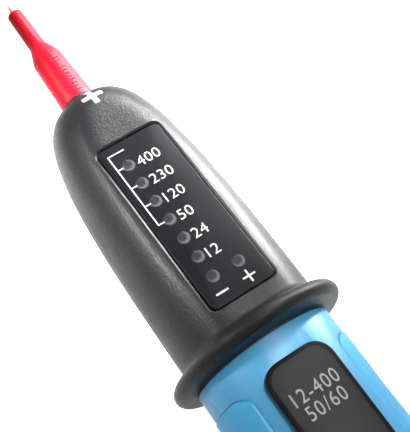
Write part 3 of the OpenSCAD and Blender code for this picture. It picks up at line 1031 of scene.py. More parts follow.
@dataclass
class Head(Assembly):
    """The black head: two shells with the finger guard, the window, the gaskets and the screws."""

    half_width: float = 25.3
    length: float = 106.4
    dome_back: float = 20.0
    dome_power: float = 3.45
    round_power: float = 4.24
    front_share: float = 1.06
    section_power: float = 2.12
    wall: float = 2.4
    face_height: float = 23.6
    face_tilt: float = 3.0
    face_blend: float = 2.4
    window_low: float = 11.3
    window_half: float = 11.9
    window_length: float = 67.6
    window_corner: float = 2.0
    window_thick: float = 1.2
    window_drop: float = 0.3
    window_gap: float = 0.55
    ledge_width: float = 1.2
    floor_depth: float = 1.9
    ledge_depth: float = 3.5
    lip: float = 0.65
    lip_slope: float = 0.58
    fillet: float = 3.6
    rim_radius: float = 2.9
    rim_centre: float = 29.4
    rim_flat: float = 0.5
    passage: float = 20.3
    passage_drop: float = 0.7
    boss_radius: float = 7.0
    boss_root: float = 1.5
    boss_top: float = 108.7
    boss_edge: float = 0.4
    bore: float = 4.6
    flange_bore: float = 6.15
    flange_low: float = 96.2
    flange_high: float = 99.6
    nose_length: float = 16.0
    window_round: float = 0.18
    shell_round: float = 0.25
    ring_steps: int = 72
    ring_power: float = 1.35
    lip_steps: int = 2
    inner_steps: int = 18
    fillet_steps: int = 10
    rim_steps: int = 18
    root_steps: int = 6
    edge_steps: int = 4
    table_steps: int = 600

    def __post_init__(self) -> None:
        """Measures the dome's outline by its own length, from the guard's fillet to the boss."""
        self.fillet_top = self.rim_radius + self.fillet
        self.table: list[tuple[float, float, float]] = []
        run = 0.0
        for i in range(self.table_steps + 1):
            turn = QUARTER * i / self.table_steps
            half = self.half_width * clamp_power(math.cos(turn), 2 / self.round_power)
            rise = clamp_power(math.sin(turn), 2 / self.dome_power)
            y = (self.length + self.dome_back) * rise - self.dome_back
            if self.table:
                run += math.hypot(half - self.table[-1][HALF], y - self.table[-1][ALONG])
            self.table.append((run, half, y))
        self.low_run = self.run_at(ALONG, self.fillet_top)
        self.high_run = self.run_at(HALF, self.boss_radius + self.boss_root)
        self.nose_run = self.run_at(ALONG, self.length - self.nose_length)

    def run_at(self, column: int, goal: float) -> float:
        """Finds where the outline's half width or its place along the axis reaches a value.

        Args:
            column: HALF or ALONG, which of the two is meant.
            goal: The value.

        Returns:
            The length.
        """
        for before, after in zip(self.table, self.table[1:]):
            low, high = sorted((before[column], after[column]))
            if low <= goal <= high and high > low:
                share = (goal - before[column]) / (after[column] - before[column])
                return before[RUN] + share * (after[RUN] - before[RUN])
        raise ValueError(f"the dome's outline never reaches {goal}")

    def outline(self, run: float) -> Spot:
        """Reads the outline at a length along it.

        Args:
            run: The length.

        Returns:
            The half width and the place along the axis.
        """
        found = bisect_right(self.table, run, key=lambda row: row[RUN])
        row = min(max(found, 1), len(self.table) - 1)
        before, after = self.table[row - 1], self.table[row]
        share = (run - before[RUN]) / (after[RUN] - before[RUN])
        return (before[HALF] + share * (after[HALF] - before[HALF]),
                before[ALONG] + share * (after[ALONG] - before[ALONG]))

    def face(self, y: float) -> float:
        """Returns the height of the flat front above the axis at a place along it."""
        return self.face_height - (y - self.window_low) * math.tan(math.radians(self.face_tilt))

    def skin(self, turn: float, run: float, inset: float = 0.0, drop: float = 0.0) -> Point:
        """Returns a point of the front shell.

        Args:
            turn: Angle round the axis from its right side.
            run: Length along the outline.
            inset: How far inside the outline the point lies.
            drop: How far below the flat front the flat lies there.

        Returns:
            The point.
        """
        half, y = self.outline(run)
        power = 2 / self.section_power
        across = clamp_power(abs(math.cos(turn)), power) * math.copysign(1, math.cos(turn))
        up = clamp_power(math.sin(turn), power)
        z = soft_min(self.front_share * (half - inset) * up, self.face(y) - drop, self.face_blend)
        return ((half - inset) * across, y, z)

    def turn_of(self, x: float, half: float) -> float:
        """Finds the angle round the axis at which the front shell is so far across.

        Args:
            x: How far across.
            half: The outline's half width there.

        Returns:
            The angle from the right side.
        """
        share = min(abs(x) / half, 1.0) ** (self.section_power / 2)
        turn = math.acos(share)
        return turn if x >= 0 else math.pi - turn

    def height_at(self, x: float, y: float) -> float:
        """Finds how high the front shell is.

        Args:
            x: The place across.
            y: The place along the axis.

        Returns:
            The height above the axis.
        """
        run = self.run_at(ALONG, y)
        half, _ = self.outline(run)
        return self.skin(self.turn_of(x, half), run)[2]

    def window_frame(self) -> Matrix:
        """Finds the plane of the window's outer face.

        Returns:
            A matrix that turns millimetres on the plane into the shared frame.
        """
        tilt = Matrix.Rotation(math.radians(-self.face_tilt), 4, "X")
        shift = Matrix.Translation(self.place.at(0, self.window_low, self.face_height))
        drop = Matrix.Translation((0, 0, -self.window_drop * MM))
        return shift @ tilt @ drop @ Matrix.Scale(MM, 4)

    def along(self, height: float) -> float:
        """Returns the place along the axis of a height on the window's plane."""
        return self.window_low + height * math.cos(math.radians(self.face_tilt))

    def on_plan(self, loop: Sequence[Spot], inset: float) -> list[Spot]:
        """Finds places of the window's plane on the shell.

        Args:
            loop: The places on the window's plane.
            inset: How far inside the outline the shell is taken.

        Returns:
            An angle and a length along the outline for each place.
        """
        spots = []
        for x, height in loop:
            run = self.run_at(ALONG, self.along(height))
            half, _ = self.outline(run)
            spots.append((self.turn_of(x, half - inset), run))
        return spots

    def border(self, loop: RoundedLoop, top_run: float) -> list[Spot]:
        """Lists the shell's border, with as many points as the window's loop.

        Args:
            loop: The window's loop.
            top_run: Length along the outline at the upper border.

        Returns:
            An angle and a length along the outline for each point.
        """
        across, along = loop.across, loop.along
        span = top_run - self.low_run
        ring = [(math.pi * i / across, self.low_run) for i in range(across)]
        ring += [(math.pi, self.low_run + span * i / along) for i in range(along)]
        ring += [(math.pi * (1 - i / across), top_run) for i in range(across)]
        ring += [(0.0, top_run - span * i / along) for i in range(along)]
        return ring

    def skin_ring(self, start: Sequence[Spot], end: Sequence[Spot],
                  share: float, inset: float = 0.0, drop: float = 0.0) -> list[Point]:
        """Lists points of the shell a share of the way from one ring of places on it to another."""
        return [self.skin(a + (c - a) * share, b + (d - b) * share, inset, drop)
                for (a, b), (c, d) in zip(start, end)]

    def build_front(self) -> None:
        """Makes the front shell: dome, flat front, window pocket, ledge, guard and inner wall."""
        gap = self.window_gap
        pocket = RoundedLoop(self.window_half + gap, -gap, self.window_length + gap,
                             self.window_corner + gap)
        ledge = self.ledge_loop()
        start, end = self.on_plan(pocket.points(self.lip), 0.0), self.border(pocket, self.high_run)
        rings = [self.skin_ring(start, end, (k / self.ring_steps) ** self.ring_power)
                 for k in range(self.ring_steps, -1, -1)]
        top = rings[-1]
        for k in range(1, self.lip_steps + 1):
            share = k / self.lip_steps
            inner = pocket.points(self.lip * (1 - share))
            rings.append([(x, self.along(height), z - self.lip * self.lip_slope * share)
                          for (x, height), (_, _, z) in zip(inner, top)])
        depths = ((pocket, self.floor_depth), (ledge, self.floor_depth), (ledge, self.ledge_depth))
        for loop, depth in depths:
            rings.append([(x, self.along(height), self.face(self.along(height)) - depth)
                          for x, height in loop.points()])
        start, end = self.on_plan(ledge.points(), self.wall), self.border(pocket, self.nose_run)
        rings += [self.skin_ring(start, end, k / self.inner_steps, self.wall, self.ledge_depth)
                  for k in range(1, self.inner_steps + 1)]
        turns = [math.pi * i / pocket.across for i in range(pocket.across + 1)]
        work = Patchwork()
        work.add_rows(rings, closed=True)
        work.add_rows(self.guard_rows(turns))
        work.add_rows(self.nose_rows(turns))
        piece = work.build("head_front", self.place, Edge.CRISP, cap_openings=True)
        self.dress(piece, self.finishes.black_shell, node="head_front_shell")

    def ledge_loop(self) -> RoundedLoop:
        """Returns the opening inside the ledge that the window rests on."""
        return RoundedLoop(self.window_half - self.ledge_width, self.ledge_width,
                           self.window_length - self.ledge_width, self.window_corner / 2)

    def guard_rows(self, turns: Sequence[float]) -> list[list[Point]]:
        """Lists rows from the shell's lower border over the guard and back up inside the head.

        Args:
            turns: Angles round the axis of the points in a row.

        Returns:
            The rows.
        """
        border = [self.skin(a, self.low_run) for a in turns]
        flare = turned_row(self.rim_centre - self.rim_flat, 0.0, turns, self.front_share)
        rows = [border]
        for k in range(1, self.fillet_steps + 1):
            angle = QUARTER * k / self.fillet_steps
            out, y = 1 - math.cos(angle), self.fillet_top - self.fillet * math.sin(angle)
            rows.append([(x + (goal_x - x) * out, y, z + (goal_z - z) * out)
                         for (x, _, z), (goal_x, _, goal_z) in zip(border, flare)])
        rim = (self.rim_centre, 0.0)
        outline = arc(rim, self.rim_radius, start=90, end=-90, steps=self.rim_steps)
        passage_high = self.fillet_top - self.passage_drop
        outline += [(self.passage, -self.rim_radius), (self.passage, passage_high)]
        rows += [turned_row(radius, y, turns, self.front_share) for radius, y in outline]
        rows.append([self.skin(a, self.low_run, self.wall, self.ledge_depth) for a in turns])
        return rows

    def nose_rows(self, turns: Sequence[float]) -> list[list[Point]]:
        """Lists rows from the shell's upper border over the boss and down the socket's seat.

        Args:
            turns: Angles round the axis of the points in a row.

        Returns:
            The rows.
        """
        _, y = self.outline(self.high_run)
        root = (self.boss_radius + self.boss_root, y + self.boss_root)
        edge = (self.boss_radius - self.boss_edge, self.boss_top - self.boss_edge)
        outline = arc(root, self.boss_root, start=270, end=180, steps=self.root_steps)[1:]
        outline += arc(edge, self.boss_edge, start=0, end=90, steps=self.edge_steps)
        outline += [(self.bore, self.boss_top), (self.bore, self.flange_high),
                    (self.flange_bore, self.flange_high), (self.flange_bore, self.flange_low),
                    (self.bore, self.flange_low), (self.bore, self.length - self.nose_length)]
        rows = [[self.skin(a, self.high_run) for a in turns]]
        rows += [turned_row(radius, along, turns) for radius, along in outline]
        rows.append([self.skin(a, self.nose_run, self.wall, self.ledge_depth) for a in turns])
        return rows

    def build_window(self) -> None:
        """Makes the window plate with a fine round along its edges."""
        loop = RoundedLoop(self.window_half, 0.0, self.window_length, self.window_corner)
        frame = self.window_frame()

        def lift(points: Sequence[Spot], height: float) -> list[Point]:
            """Moves places on the window's plane to millimetres from the axis."""
            moved = [frame @ Vector((x, y, height)) for x, y in points]
            return [(p.x / MM, p.y / MM, (p.z - self.place.axis_height) / MM) for p in moved]

        centre = (-self.window_round, -self.window_round)
        section = arc(centre, self.window_round, start=90, end=0, steps=self.edge_steps)
        section.append((0.0, -self.window_thick))
        rings = [lift(loop.points(outset), height) for outset, height in section]
        work = Patchwork()
        work.add_rows(rings, closed=True)
        work.add_disc(rings[0])
        work.add_disc(rings[-1])
        self.dress(work.build("window_plate", self.place, Edge.CRISP), self.finishes.window,
                   node="display_window")

    def build(self) -> None:
        """Builds the head's pieces in order."""
        looks = self.finishes
        self.build_front()
        self.dressed_copy("head_rear_shell", "head_rear", looks.black_shell, self.shell_round)
        self.build_window()
        self.paint_node("window_gasket", looks.soft_black)
        self.dressed_copy("head_screws", "head_screw_set", looks.screw, SCREW_ROUND)
        self.dressed_copy("collar_gasket", "collar_ring", looks.soft_black)


# ---------------------------------------------------------------- printed marks


@dataclass(frozen=True)
class LampRows:
    """Places of the lamps on the window's plane, across it and up from its lower edge."""

    column: float = -5.3
    first: float = 58.3
    pitch: float = 8.0
    count: int = 6
    sign_row: float = 10.1
    sign_columns: Spot = (-5.3, 4.5)

    def row(self, number: int) -> float:
        """Returns the height of a lamp of the scale, numbered from the needle's end."""
        return self.first - self.pitch * number

    def places(self) -> list[Spot]:
        """Lists the lamps of the scale and then the two beside the polarity signs."""
        return [(self.column, self.row(i)) for i in range(self.count)] + [
            (x, self.sign_row) for x in self.sign_columns]


@dataclass
class Marks(Assembly):
    """Pale marks on the window and the dome: plain numbers, a bracket and polarity signs."""

    head: Head
    lamps: LampRows = LampRows()
    lettering: Lettering = Lettering(height=3.7, stretch=1.06, weight=-0.006, spacing=1.04)
    numbers: tuple[str, ...] = ("400", "230", "120", "50", "24", "12")
    number_left: float = -2.2
    number_drop: float = 0.6
    ink: float = 0.03
    bracket_x: float = -9.5
    bracket_top: float = 64.3
    bracket_arm: float = 6.2
    bracket_lamps: int = 4
    tick: float = 2.3
    stroke: float = 0.45
    sign_y: float = 4.0
    minus_x: float = -6.0
    plus_x: float = 4.3
    sign_length: float = 4.6
    sign_stroke: float = 0.62
    dome_sign_x: float = -0.3
    dome_sign_y: float = 99.9
    dome_sign_length: float = 7.8
    dome_sign_stroke: float = 1.9
    dome_sign_ink: float = 0.06
    dome_sign_steps: int = 12

    def stroke_bars(self, bars: Sequence[tuple[float, float, float, float]]) -> BMesh:
        """Makes thin bars on a flat plane.

        Args:
            bars: The centre across and up, the width and the height of each, in millimetres.

        Returns:
            The bars.
        """
        work = bmesh.new()
        for x, y, width, height in bars:
            shape = Matrix.Translation((x, y, 0)) @ Matrix.Diagonal((width, height, self.ink, 1))
            bmesh.ops.create_cube(work, size=1.0, matrix=shape)
        return work

    def add_flat(self, name: str, work: BMesh) -> None:
        """Places a flat mark on the window and dresses it.

        Args:
            name: The mark's name.
            work: The mark, in millimetres.
        """
        work.transform(self.head.window_frame() @ Matrix.Translation((0, 0, self.ink / 2)))
        bmesh.ops.remove_doubles(work, verts=work.verts, dist=MERGE_DISTANCE)
        bmesh.ops.recalc_face_normals(work, faces=work.faces)
        piece = place_mesh(name, finished_mesh(name, work), Edge.FINE)
        self.dress(piece, self.finishes.print_white, "smoked_window")

    def build_scale(self) -> None:
        """Prints the numbers, the bracket beside the upper lamps and the two polarity signs."""
        work = bmesh.new()
        for i, text in enumerate(self.numbers):
            low = self.lamps.row(i) - self.number_drop - self.lettering.height / 2
            self.lettering.print_on(work, text, self.number_left, low)
        self.add_flat("scale_numbers", work)
        low, top = self.lamps.row(self.bracket_lamps - 1), self.bracket_top
        bars = [(self.bracket_x, (top + low) / 2, self.stroke, top - low + self.stroke),
                (self.bracket_x + self.bracket_arm / 2, top, self.bracket_arm, self.stroke)]
        bars += [(self.bracket_x + self.tick / 2, self.lamps.row(i), self.tick, self.stroke)
                 for i in range(self.bracket_lamps)]
        self.add_flat("scale_bracket", self.stroke_bars(bars))
        signs = [(self.minus_x, self.sign_y, self.sign_length, self.sign_stroke),
                 (self.plus_x, self.sign_y, self.sign_length, self.sign_stroke),
                 (self.plus_x, self.sign_y, self.sign_stroke, self.sign_length)]
        self.add_flat("polarity_signs", self.stroke_bars(signs))

    def build_dome_sign(self) -> None:
        """Lays the large plus sign on the curved dome."""
        half, arm = self.dome_sign_length / 2, self.dome_sign_stroke / 2
        steps = self.dome_sign_steps
        even = {-half + self.dome_sign_length * i / steps for i in range(steps + 1)}
        marks = sorted(even | {-half, -arm, arm, half})

        def spot(x: float, y: float) -> Point:
            """Returns a point a little above the dome."""
            across, along = self.dome_sign_x + x, self.dome_sign_y + y
            return (across, along, self.head.height_at(across, along) + self.dome_sign_ink)

        work = Patchwork()
        for x0, x1 in zip(marks, marks[1:]):
            for y0, y1 in zip(marks, marks[1:]):
                if min(abs(x0 + x1), abs(y0 + y1)) / 2 < arm:
                    work.add_rows([[spot(x, y) for x in (x0, x1)] for y in (y0, y1)])
        piece = work.build("dome_plus", self.place, Edge.SOFT)
        shell = piece.modifiers.new("ink", "SOLIDIFY")
        shell.thickness = self.dome_sign_ink * MM
        shell.offset = -1
        self.dress(piece, self.finishes.print_white, "black_shell")

    def build(self) -> None:
        """Builds every printed mark."""
        self.build_scale()
        self.build_dome_sign()


# ---------------------------------------------------------------- probe


@dataclass
class Probe(Assembly):
    """The steel needle and the red sleeve that pulls off it, with its row of raised ticks.

    The rounds at the sleeve's base and nose start and end at angles in degrees.
    """

    needle_radius: float = 2.0
    neck_radius: float = 0.85
    bore_gap: float = 0.1
    sleeve_low: float = 108.8
    sleeve_high: float = 154.6
    base_radius: float = 6.6
    base_round: float = 0.35
    base_start: float = -60.0
    cone_radius: float = 5.75
    cone_y: float = 130.5
    neck_y: float = 137.5
    sleeve_neck: float = 3.25
    shoulder_bend: float = 0.35
    nose_radius: float = 2.9
    nose_round: float = 1.3
    nose_turns: Spot = (2.0, 78.0)
    mouth_flat: float = 0.35
    mouth_depth: float = 0.3
    throat_gap: float = 0.1
    throat_length: float = 5.0
    throat_end: float = 8.0
    steps: int = 96
    base_steps: int = 4
    cone_steps: int = 12
    shoulder_steps: int = 14
    neck_steps: int = 8
    tick_count: int = 13
    tick_low: float = 111.0
    tick_high: float = 130.0
    tick_turn: float = 12.0
    tick_size: Point = (2.1, 0.6, 0.6)
    tick_least: Point = (0.7, 0.55, 1.0)
    tick_most: Point = (1.0, 1.0, 1.0)
    tick_seed: int = 4
    tick_round: float = 0.09

    def build_sleeve(self) -> None:
        """Makes the sleeve: a long slim cone, a shoulder, a thin neck and a rounded end."""
        base_y, nose_y = self.sleeve_low + self.base_round, self.sleeve_high - self.nose_round
        inner = self.base_radius - self.base_round
        outline = [(inner, self.sleeve_low)]
        outline += arc((inner, base_y), self.base_round, self.base_start, 0.0, self.base_steps)
        outline += between((self.base_radius, base_y), (self.cone_radius, self.cone_y),
                           self.cone_steps)
        for k in range(self.shoulder_steps + 1):
            share = k / self.shoulder_steps
            ease = share * share * (3 - 2 * share)
            bend = ease * self.shoulder_bend + share * (1 - self.shoulder_bend)
            outline.append((self.cone_radius + (self.sleeve_neck - self.cone_radius) * bend,
                            self.cone_y + (self.neck_y - self.cone_y) * share))
        outline += between((self.sleeve_neck, self.neck_y), (self.nose_radius, nose_y),
                           self.neck_steps)
        nose = (self.nose_radius - self.nose_round, nose_y)
        outline += arc(nose, self.nose_round, *self.nose_turns, self.neck_steps)
        bore = self.neck_radius + self.bore_gap
        throat, shank = bore + self.throat_gap, self.needle_radius + self.bore_gap
        outline += [(bore + self.mouth_flat, self.sleeve_high),
                    (throat, self.sleeve_high - self.mouth_depth),
                    (throat, self.sleeve_high - self.throat_length),
                    (shank, self.sleeve_high - self.throat_end), (shank, self.sleeve_low)]
        piece = lathe(outline, self.steps).build("sleeve", self.place, Edge.CRISP)
        self.dress(piece, self.finishes.red_sleeve, body=Body.SLEEVE, node="probe_sleeve")

    def tick_tree(self) -> NodeTree:
        """Builds the tree that sets a row of small raised ticks along the sleeve.

        Returns:
            The tree.
        """
        tree = bpy.data.node_groups.new("raised_ticks", "GeometryNodeTree")
        for label, kind in (("Geometry", "Geometry"), ("Count", "Int"), ("Start", "Vector"),
                            ("End", "Vector"), ("Tick Size", "Vector"), ("Turn", "Vector"),
                            ("Least Scale", "Vector"), ("Most Scale", "Vector"), ("Seed", "Int"),
                            ("Finish", "Material")):
            tree.interface.new_socket(label, in_out="INPUT", socket_type="NodeSocket" + kind)
        tree.interface.new_socket("Geometry", in_out="OUTPUT", socket_type="NodeSocketGeometry")
        n = Nodes(tree)
        entry = n.add("NodeGroupInput").outputs
        line = n.add("GeometryNodeMeshLine", {
            "Count": entry["Count"], "Start Location": entry["Start"], "Offset": entry["End"]},
            mode="END_POINTS")
        tick = n.add("GeometryNodeMeshCube", {"Size": entry["Tick Size"]})
        vary = n.add("FunctionNodeRandomValue", {
            "Min": entry["Least Scale"], "Max": entry["Most Scale"], "Seed": entry["Seed"]},
            data_type="FLOAT_VECTOR")
        turn = n.add("FunctionNodeEulerToRotation", {0: entry["Turn"]})
        placed = n.add("GeometryNodeInstanceOnPoints", {
            "Points": line.outputs[0], "Instance": tick.outputs[0], "Rotation": turn.outputs[0],
            "Scale": vary.outputs[0]})
        real = n.add("GeometryNodeRealizeInstances", {0: placed.outputs[0]})
        done = n.add("GeometryNodeSetMaterial", {"Geometry": real.outputs[0],
                                                 "Material": entry["Finish"]})
        n.add("NodeGroupOutput", {0: done.outputs[0]})
        return tree

    def tick_spot(self, y: float) -> Vector:
        """Finds a place on the sleeve's marked side.

        Args:
            y: The place along the axis.

        Returns:
            The place in the shared frame.
        """
        turn = math.radians(self.tick_turn)
        share = (y - self.sleeve_low) / (self.cone_y - self.sleeve_low)
        radius = self.base_radius + (self.cone_radius - self.base_radius) * share
        return self.place.at(radius * math.sin(turn), y, radius * math.cos(turn))

    def build_ticks(self) -> None:
        """Makes the row of plain raised ticks on the sleeve's side."""
        piece = add_object("sleeve_ticks", bpy.data.meshes.new("sleeve_ticks"))
        tree = self.tick_tree()
        modifier = piece.modifiers.new("ticks", "NODES")
        modifier.node_group = tree
        keys = {item.name: item.identifier for item in tree.interface.items_tree
                if item.in_out == "INPUT"}
        values = {"Count": self.tick_count, "Start": self.tick_spot(self.tick_low),
                  "End": self.tick_spot(self.tick_high), "Tick Size": Vector(self.tick_size) * MM,
                  "Turn": Vector((0.0, math.radians(self.tick_turn), 0.0)),
                  "Least Scale": self.tick_least, "Most Scale": self.tick_most,
                  "Seed": self.tick_seed, "Finish": self.finishes.red_sleeve.build()}
        for label, value in values.items():
            modifier[keys[label]] = value
        plain = evaluated_mesh(piece)
        piece.modifiers.clear()
        piece.data = plain
        plain.name = "sleeve_ticks_mesh"
        round_edges(piece, self.tick_round)
        self.dress(piece, self.finishes.red_sleeve, body=Body.SLEEVE)

    def build(self) -> None:
        """Builds the probe's pieces."""
        self.dressed_copy("probe_needle", "needle", self.finishes.steel, edge=Edge.FINE)
        self.build_sleeve()
        self.build_ticks()
        self.paint_node("needle_socket", self.finishes.brass)
        self.paint_node("contact_strip", self.finishes.brass)


# ---------------------------------------------------------------- handle


@dataclass
class Handle(Assembly):
    """The blue handle: two shells, the label plate, the side pads, screws and the inlet bush."""

    lettering: Lettering = Lettering(height=4.7, stretch=0.84, weight=0.0, spacing=1.16)
    label_lines: tuple[tuple[str, float], ...] = (("12-400", -27.4), ("50/60", -33.3))
    label_top: float = 22.7
    label_crown: float = 62.0
    label_half: float = 11.75
    label_high: float = -12.9
    label_length: float = 60.0
    label_corner: float = 6.0
    bead_out: float = 0.57
    bead_low: float = 0.85
    bead_high: float = 0.12
    bead_lap: float = 1.0
    bead_proud: float = 0.05
    shell_round: float = 0.3
    pad_round: float = 1.2
    label_round: float = 1.0
    bush_round: float = 0.3

    def label_height(self, x: float) -> float:
        """Returns the height of the label plate's crowned face at a distance from its middle."""
        return self.label_top - self.label_crown + math.sqrt(self.label_crown ** 2 - x * x)

    def build_gap_shade_bead(self) -> None:
        """Fills the groove round the label plate with a near-black bead, which laps over the plate
        and paints the shade of the gap round it.
        """
        loop = RoundedLoop(self.label_half, self.label_high - self.label_length, self.label_high,
                           self.label_corner)
        low, high, proud, lap = -self.bead_low, -self.bead_high, self.bead_proud, -self.bead_lap
        section = ((lap, high), (lap, proud), (0.0, proud), (self.bead_out, high),
                   (self.bead_out, low), (0.0, low), (lap, high))
        work = Patchwork()
        work.add_rows([[(x, y, self.label_height(x) + lift) for x, y in loop.points(outset)]
                       for outset, lift in section], closed=True)
        piece = work.build("label_gap_shade", self.place, Edge.CRISP)
        self.dress(piece, self.finishes.gap_shade_black, "soft_black")

    def build_lettering(self) -> None:
        """Prints two lines of plain numbers on the label plate's gentle crown."""
        work = bmesh.new()
        for text, low in self.label_lines:
            self.lettering.print_on(work, text, None, low)
        for vert in work.verts:
            x, y, lift = vert.co
            vert.co = self.place.at(x, y, self.label_height(x) + self.lettering.ink / 2 + lift)
        bmesh.ops.recalc_face_normals(work, faces=work.faces)
        piece = place_mesh("label_numbers", finished_mesh("label_numbers", work), Edge.FINE)
        self.dress(piece, self.finishes.print_white, "label_black")

    def build(self) -> None:
        """Builds the handle's pieces."""
        looks = self.finishes
        self.dressed_copy("grip_front_shell", "handle_front", looks.blue_shell, self.shell_round)
        self.dressed_copy("grip_rear_shell", "handle_rear", looks.blue_shell, self.shell_round)
        self.dressed_copy("label_plate", "label_face", looks.label, self.label_round)
        self.build_gap_shade_bead()
        self.build_lettering()
        self.dressed_copy("side_grip_left", "pad_left", looks.blue_pad, self.pad_round)
        self.dressed_copy("side_grip_right", "pad_right", looks.blue_pad, self.pad_round)
        self.dressed_copy("grip_screws", "handle_screw_set", looks.screw, SCREW_ROUND)
        self.dressed_copy("cable_bush", "inlet_bush", looks.soft_black, self.bush_round)


# ---------------------------------------------------------------- electronics


@dataclass
class Electronics(Assembly):
    """The sealed pieces behind the window: lamps, their holder, the board and its parts."""

    lamps: tuple[str, ...] = ("400v", "230v", "120v", "50v", "24v", "12v", "minus", "plus")

    def build(self) -> None:
        """Dresses the lamps with smooth copies and gives the rest their materials."""
        looks = self.finishes
        for lamp in self.lamps:
            self.dressed_copy(f"led_{lamp}", f"led_{lamp}_lens", looks.lens)
        for node, finish in (("led_holder", looks.holder), ("circuit_board", looks.board),
                             ("series_resistors", looks.resistor), ("ptc_resistor", looks.ptc),
                             ("bridge_rectifier", looks.chip), ("comparator_chips", looks.chip),
                             ("smoothing_capacitor", looks.can),
                             ("cable_terminal", looks.terminal)):
            self.paint_node(node, finish)


# ---------------------------------------------------------------- studio


@dataclass
class SoftLight:
    """One soft lamp: its direction from the tester, its distance, its size and its brightness.

    A lamp with a grid has a narrow spread in degrees. The lamp aims at a place along the tester,
    in millimetres.
    """

    name: str
    direction: Point
    distance: float
    size: Spot
    brightness: float
    spread: float = 180.0
    along: float = 20.0

    def build(self, place: Place) -> None:
        """Makes the lamp, turned towards the tester.

        Args:
            place: The tester's place in the shared frame.
        """
        data = bpy.data.lights.new(self.name, "AREA")
        data.shape = "RECTANGLE"
        data.size, data.size_y = self.size
        data.spread = math.radians(self.spread)
        data.energy = self.brightness * math.pi * self.size[0] * self.size[1]
        lamp = add_object(self.name, data)
        way = Vector(self.direction).normalized()
        lamp.location = place.at(0, self.along, 0) + way * self.distance
        lamp.rotation_euler = way.to_track_quat("Z", "Y").to_euler()


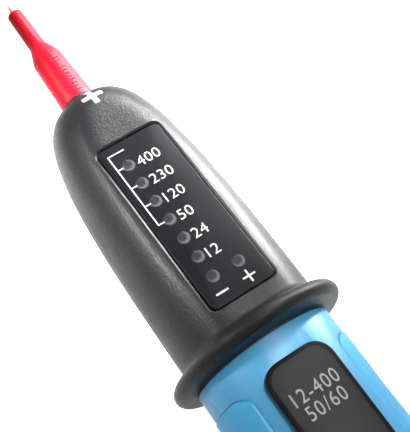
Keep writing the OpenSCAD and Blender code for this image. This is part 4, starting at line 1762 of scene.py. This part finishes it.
@dataclass
class Studio:
    """The pale floor, the soft light and the camera at the photograph's angle."""

    place: Place
    camera_turn: Point = (-18.535, 19.241, 36.875)
    camera_shift: Point = (17.081, -42.374, 366.523)
    focal_pixels: float = 1122.63
    frame_pixels: float = 410.0
    sensor: float = 36.0
    near_clip: float = 0.01
    far_clip: float = 50.0
    floor_half: float = 3.0
    floor_tone: tuple[float, float, float, float] = (0.8, 0.8, 0.8, 1.0)
    ambient: float = 0.4
    floor_glow: float = 0.72
    lights: tuple[SoftLight, ...] = (
        SoftLight("right_strip", (0.9, 0.2, 0.12), distance=0.35, size=(0.145, 0.11),
                  brightness=6.8, spread=19.5, along=86.0),
        SoftLight("right_fill", (0.8, 0.28, 0.46), distance=0.35, size=(0.12, 0.12),
                  brightness=5.6, spread=16.0, along=84.0),
        SoftLight("far_top", (0.59, 0.61, 0.53), distance=0.5, size=(0.12, 0.12),
                  brightness=2.8, spread=14.0, along=82.0),
        SoftLight("right_front", (0.53, 0.3, 0.79), distance=1.0, size=(0.26, 0.36),
                  brightness=8.5),
        SoftLight("left_low", (-0.74, 0.36, 0.58), distance=0.34, size=(0.1, 0.1),
                  brightness=3.2, spread=14.0, along=62.0),
        SoftLight("handle_fill", (0.2, -0.06, 0.98), distance=1.0, size=(0.24, 0.24),
                  brightness=0.7, spread=14.0, along=-78.0),
    )

    def build_camera(self) -> None:
        """Sets the camera that was fitted to the photograph."""
        rx, ry, rz = (math.radians(a) for a in self.camera_turn)
        view = (Matrix.Rotation(rz, 3, "Z") @ Matrix.Rotation(rx, 3, "X")
                @ Matrix.Rotation(ry, 3, "Y"))
        x, y, distance = self.camera_shift
        spot = view.transposed() @ Vector((-x, -y, distance))
        data = bpy.data.cameras.new("photo_camera")
        data.sensor_fit = "HORIZONTAL"
        data.sensor_width = self.sensor
        data.lens = self.focal_pixels * self.sensor / self.frame_pixels
        data.clip_start = self.near_clip
        data.clip_end = self.far_clip
        camera = add_object("photo_camera", data)
        camera.matrix_world = Matrix.Translation(self.place.at(*spot)) @ view.transposed().to_4x4()
        bpy.context.scene.camera = camera

    def seen_rays(self, n: Nodes) -> Socket:
        """Picks out the rays from the camera, a mirror or glass.

        Args:
            n: Adds nodes to the tree.

        Returns:
            A socket that is 1 for those rays and 0 for the rest.
        """
        path = n.add("ShaderNodeLightPath").outputs
        seen = n.math("MAXIMUM", path["Is Camera Ray"], path["Is Glossy Ray"])
        return n.math("MAXIMUM", seen, path["Is Transmission Ray"])

    def build_world(self) -> None:
        """Makes the world white to the eye and a plain soft grey as a light."""
        world = bpy.data.worlds.new("studio_world")
        bpy.context.scene.world = world
        world.use_nodes = True
        n = Nodes(world.node_tree)
        strength = n.spread(self.seen_rays(n), self.ambient, 1.0)
        back = n.add("ShaderNodeBackground", {"Color": WHITE, "Strength": strength})
        n.add("ShaderNodeOutputWorld", {0: back.outputs[0]})

    def build_floor(self) -> None:
        """Makes the pale floor, which keeps the tester's soft shadow."""
        mesh = bpy.data.meshes.new("floor")
        half = self.floor_half
        sides = [(-half, -half, 0), (half, -half, 0), (half, half, 0), (-half, half, 0)]
        mesh.from_pydata(sides, [], [(0, 1, 2, 3)])
        floor = add_object("floor", mesh)
        material = bpy.data.materials.new("floor_white")
        material.use_nodes = True
        n = Nodes(material.node_tree)
        glow = n.math("MULTIPLY", self.seen_rays(n), self.floor_glow)
        light = n.add("ShaderNodeEmission", {"Color": WHITE, "Strength": glow})
        matt = n.add("ShaderNodeBsdfDiffuse", {"Color": self.floor_tone})
        both = n.add("ShaderNodeAddShader", {0: light.outputs[0], 1: matt.outputs[0]})
        n.add("ShaderNodeOutputMaterial", {0: both.outputs[0]})
        mesh.materials.append(material)
        floor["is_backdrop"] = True

    def build(self) -> None:
        """Sets the camera, the world, the floor and the lamps."""
        self.build_camera()
        self.build_world()
        self.build_floor()
        for light in self.lights:
            light.build(self.place)
        bpy.context.scene.view_settings.view_transform = "Standard"


# ---------------------------------------------------------------- the whole tester


def corners() -> list[list[float]]:
    """Returns the lowest and highest corner of the whole object as plain numbers."""
    return [list(corner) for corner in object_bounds()]


def main() -> None:
    """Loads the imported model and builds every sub-assembly on it."""
    logging.basicConfig(level=logging.INFO, format="%(name)s: %(message)s")
    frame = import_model()
    low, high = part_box("probe_needle")
    place = Place((low.z + high.z) / 2)
    tilt = math.cos(math.radians(Head.face_tilt))
    spots = tuple((x, Head.window_low + height * tilt) for x, height in LampRows().places())
    shared = (place, frame["nodes"], Finishes(place.axis_height, spots))
    Studio(place).build()
    head = Head(*shared)
    parts = (head, Marks(*shared, head=head), Probe(*shared), Handle(*shared), Electronics(*shared))
    for assembly in parts:
        log.info("building %s", type(assembly).__name__)
        assembly.build()


if __name__ == "__main__":
    main()
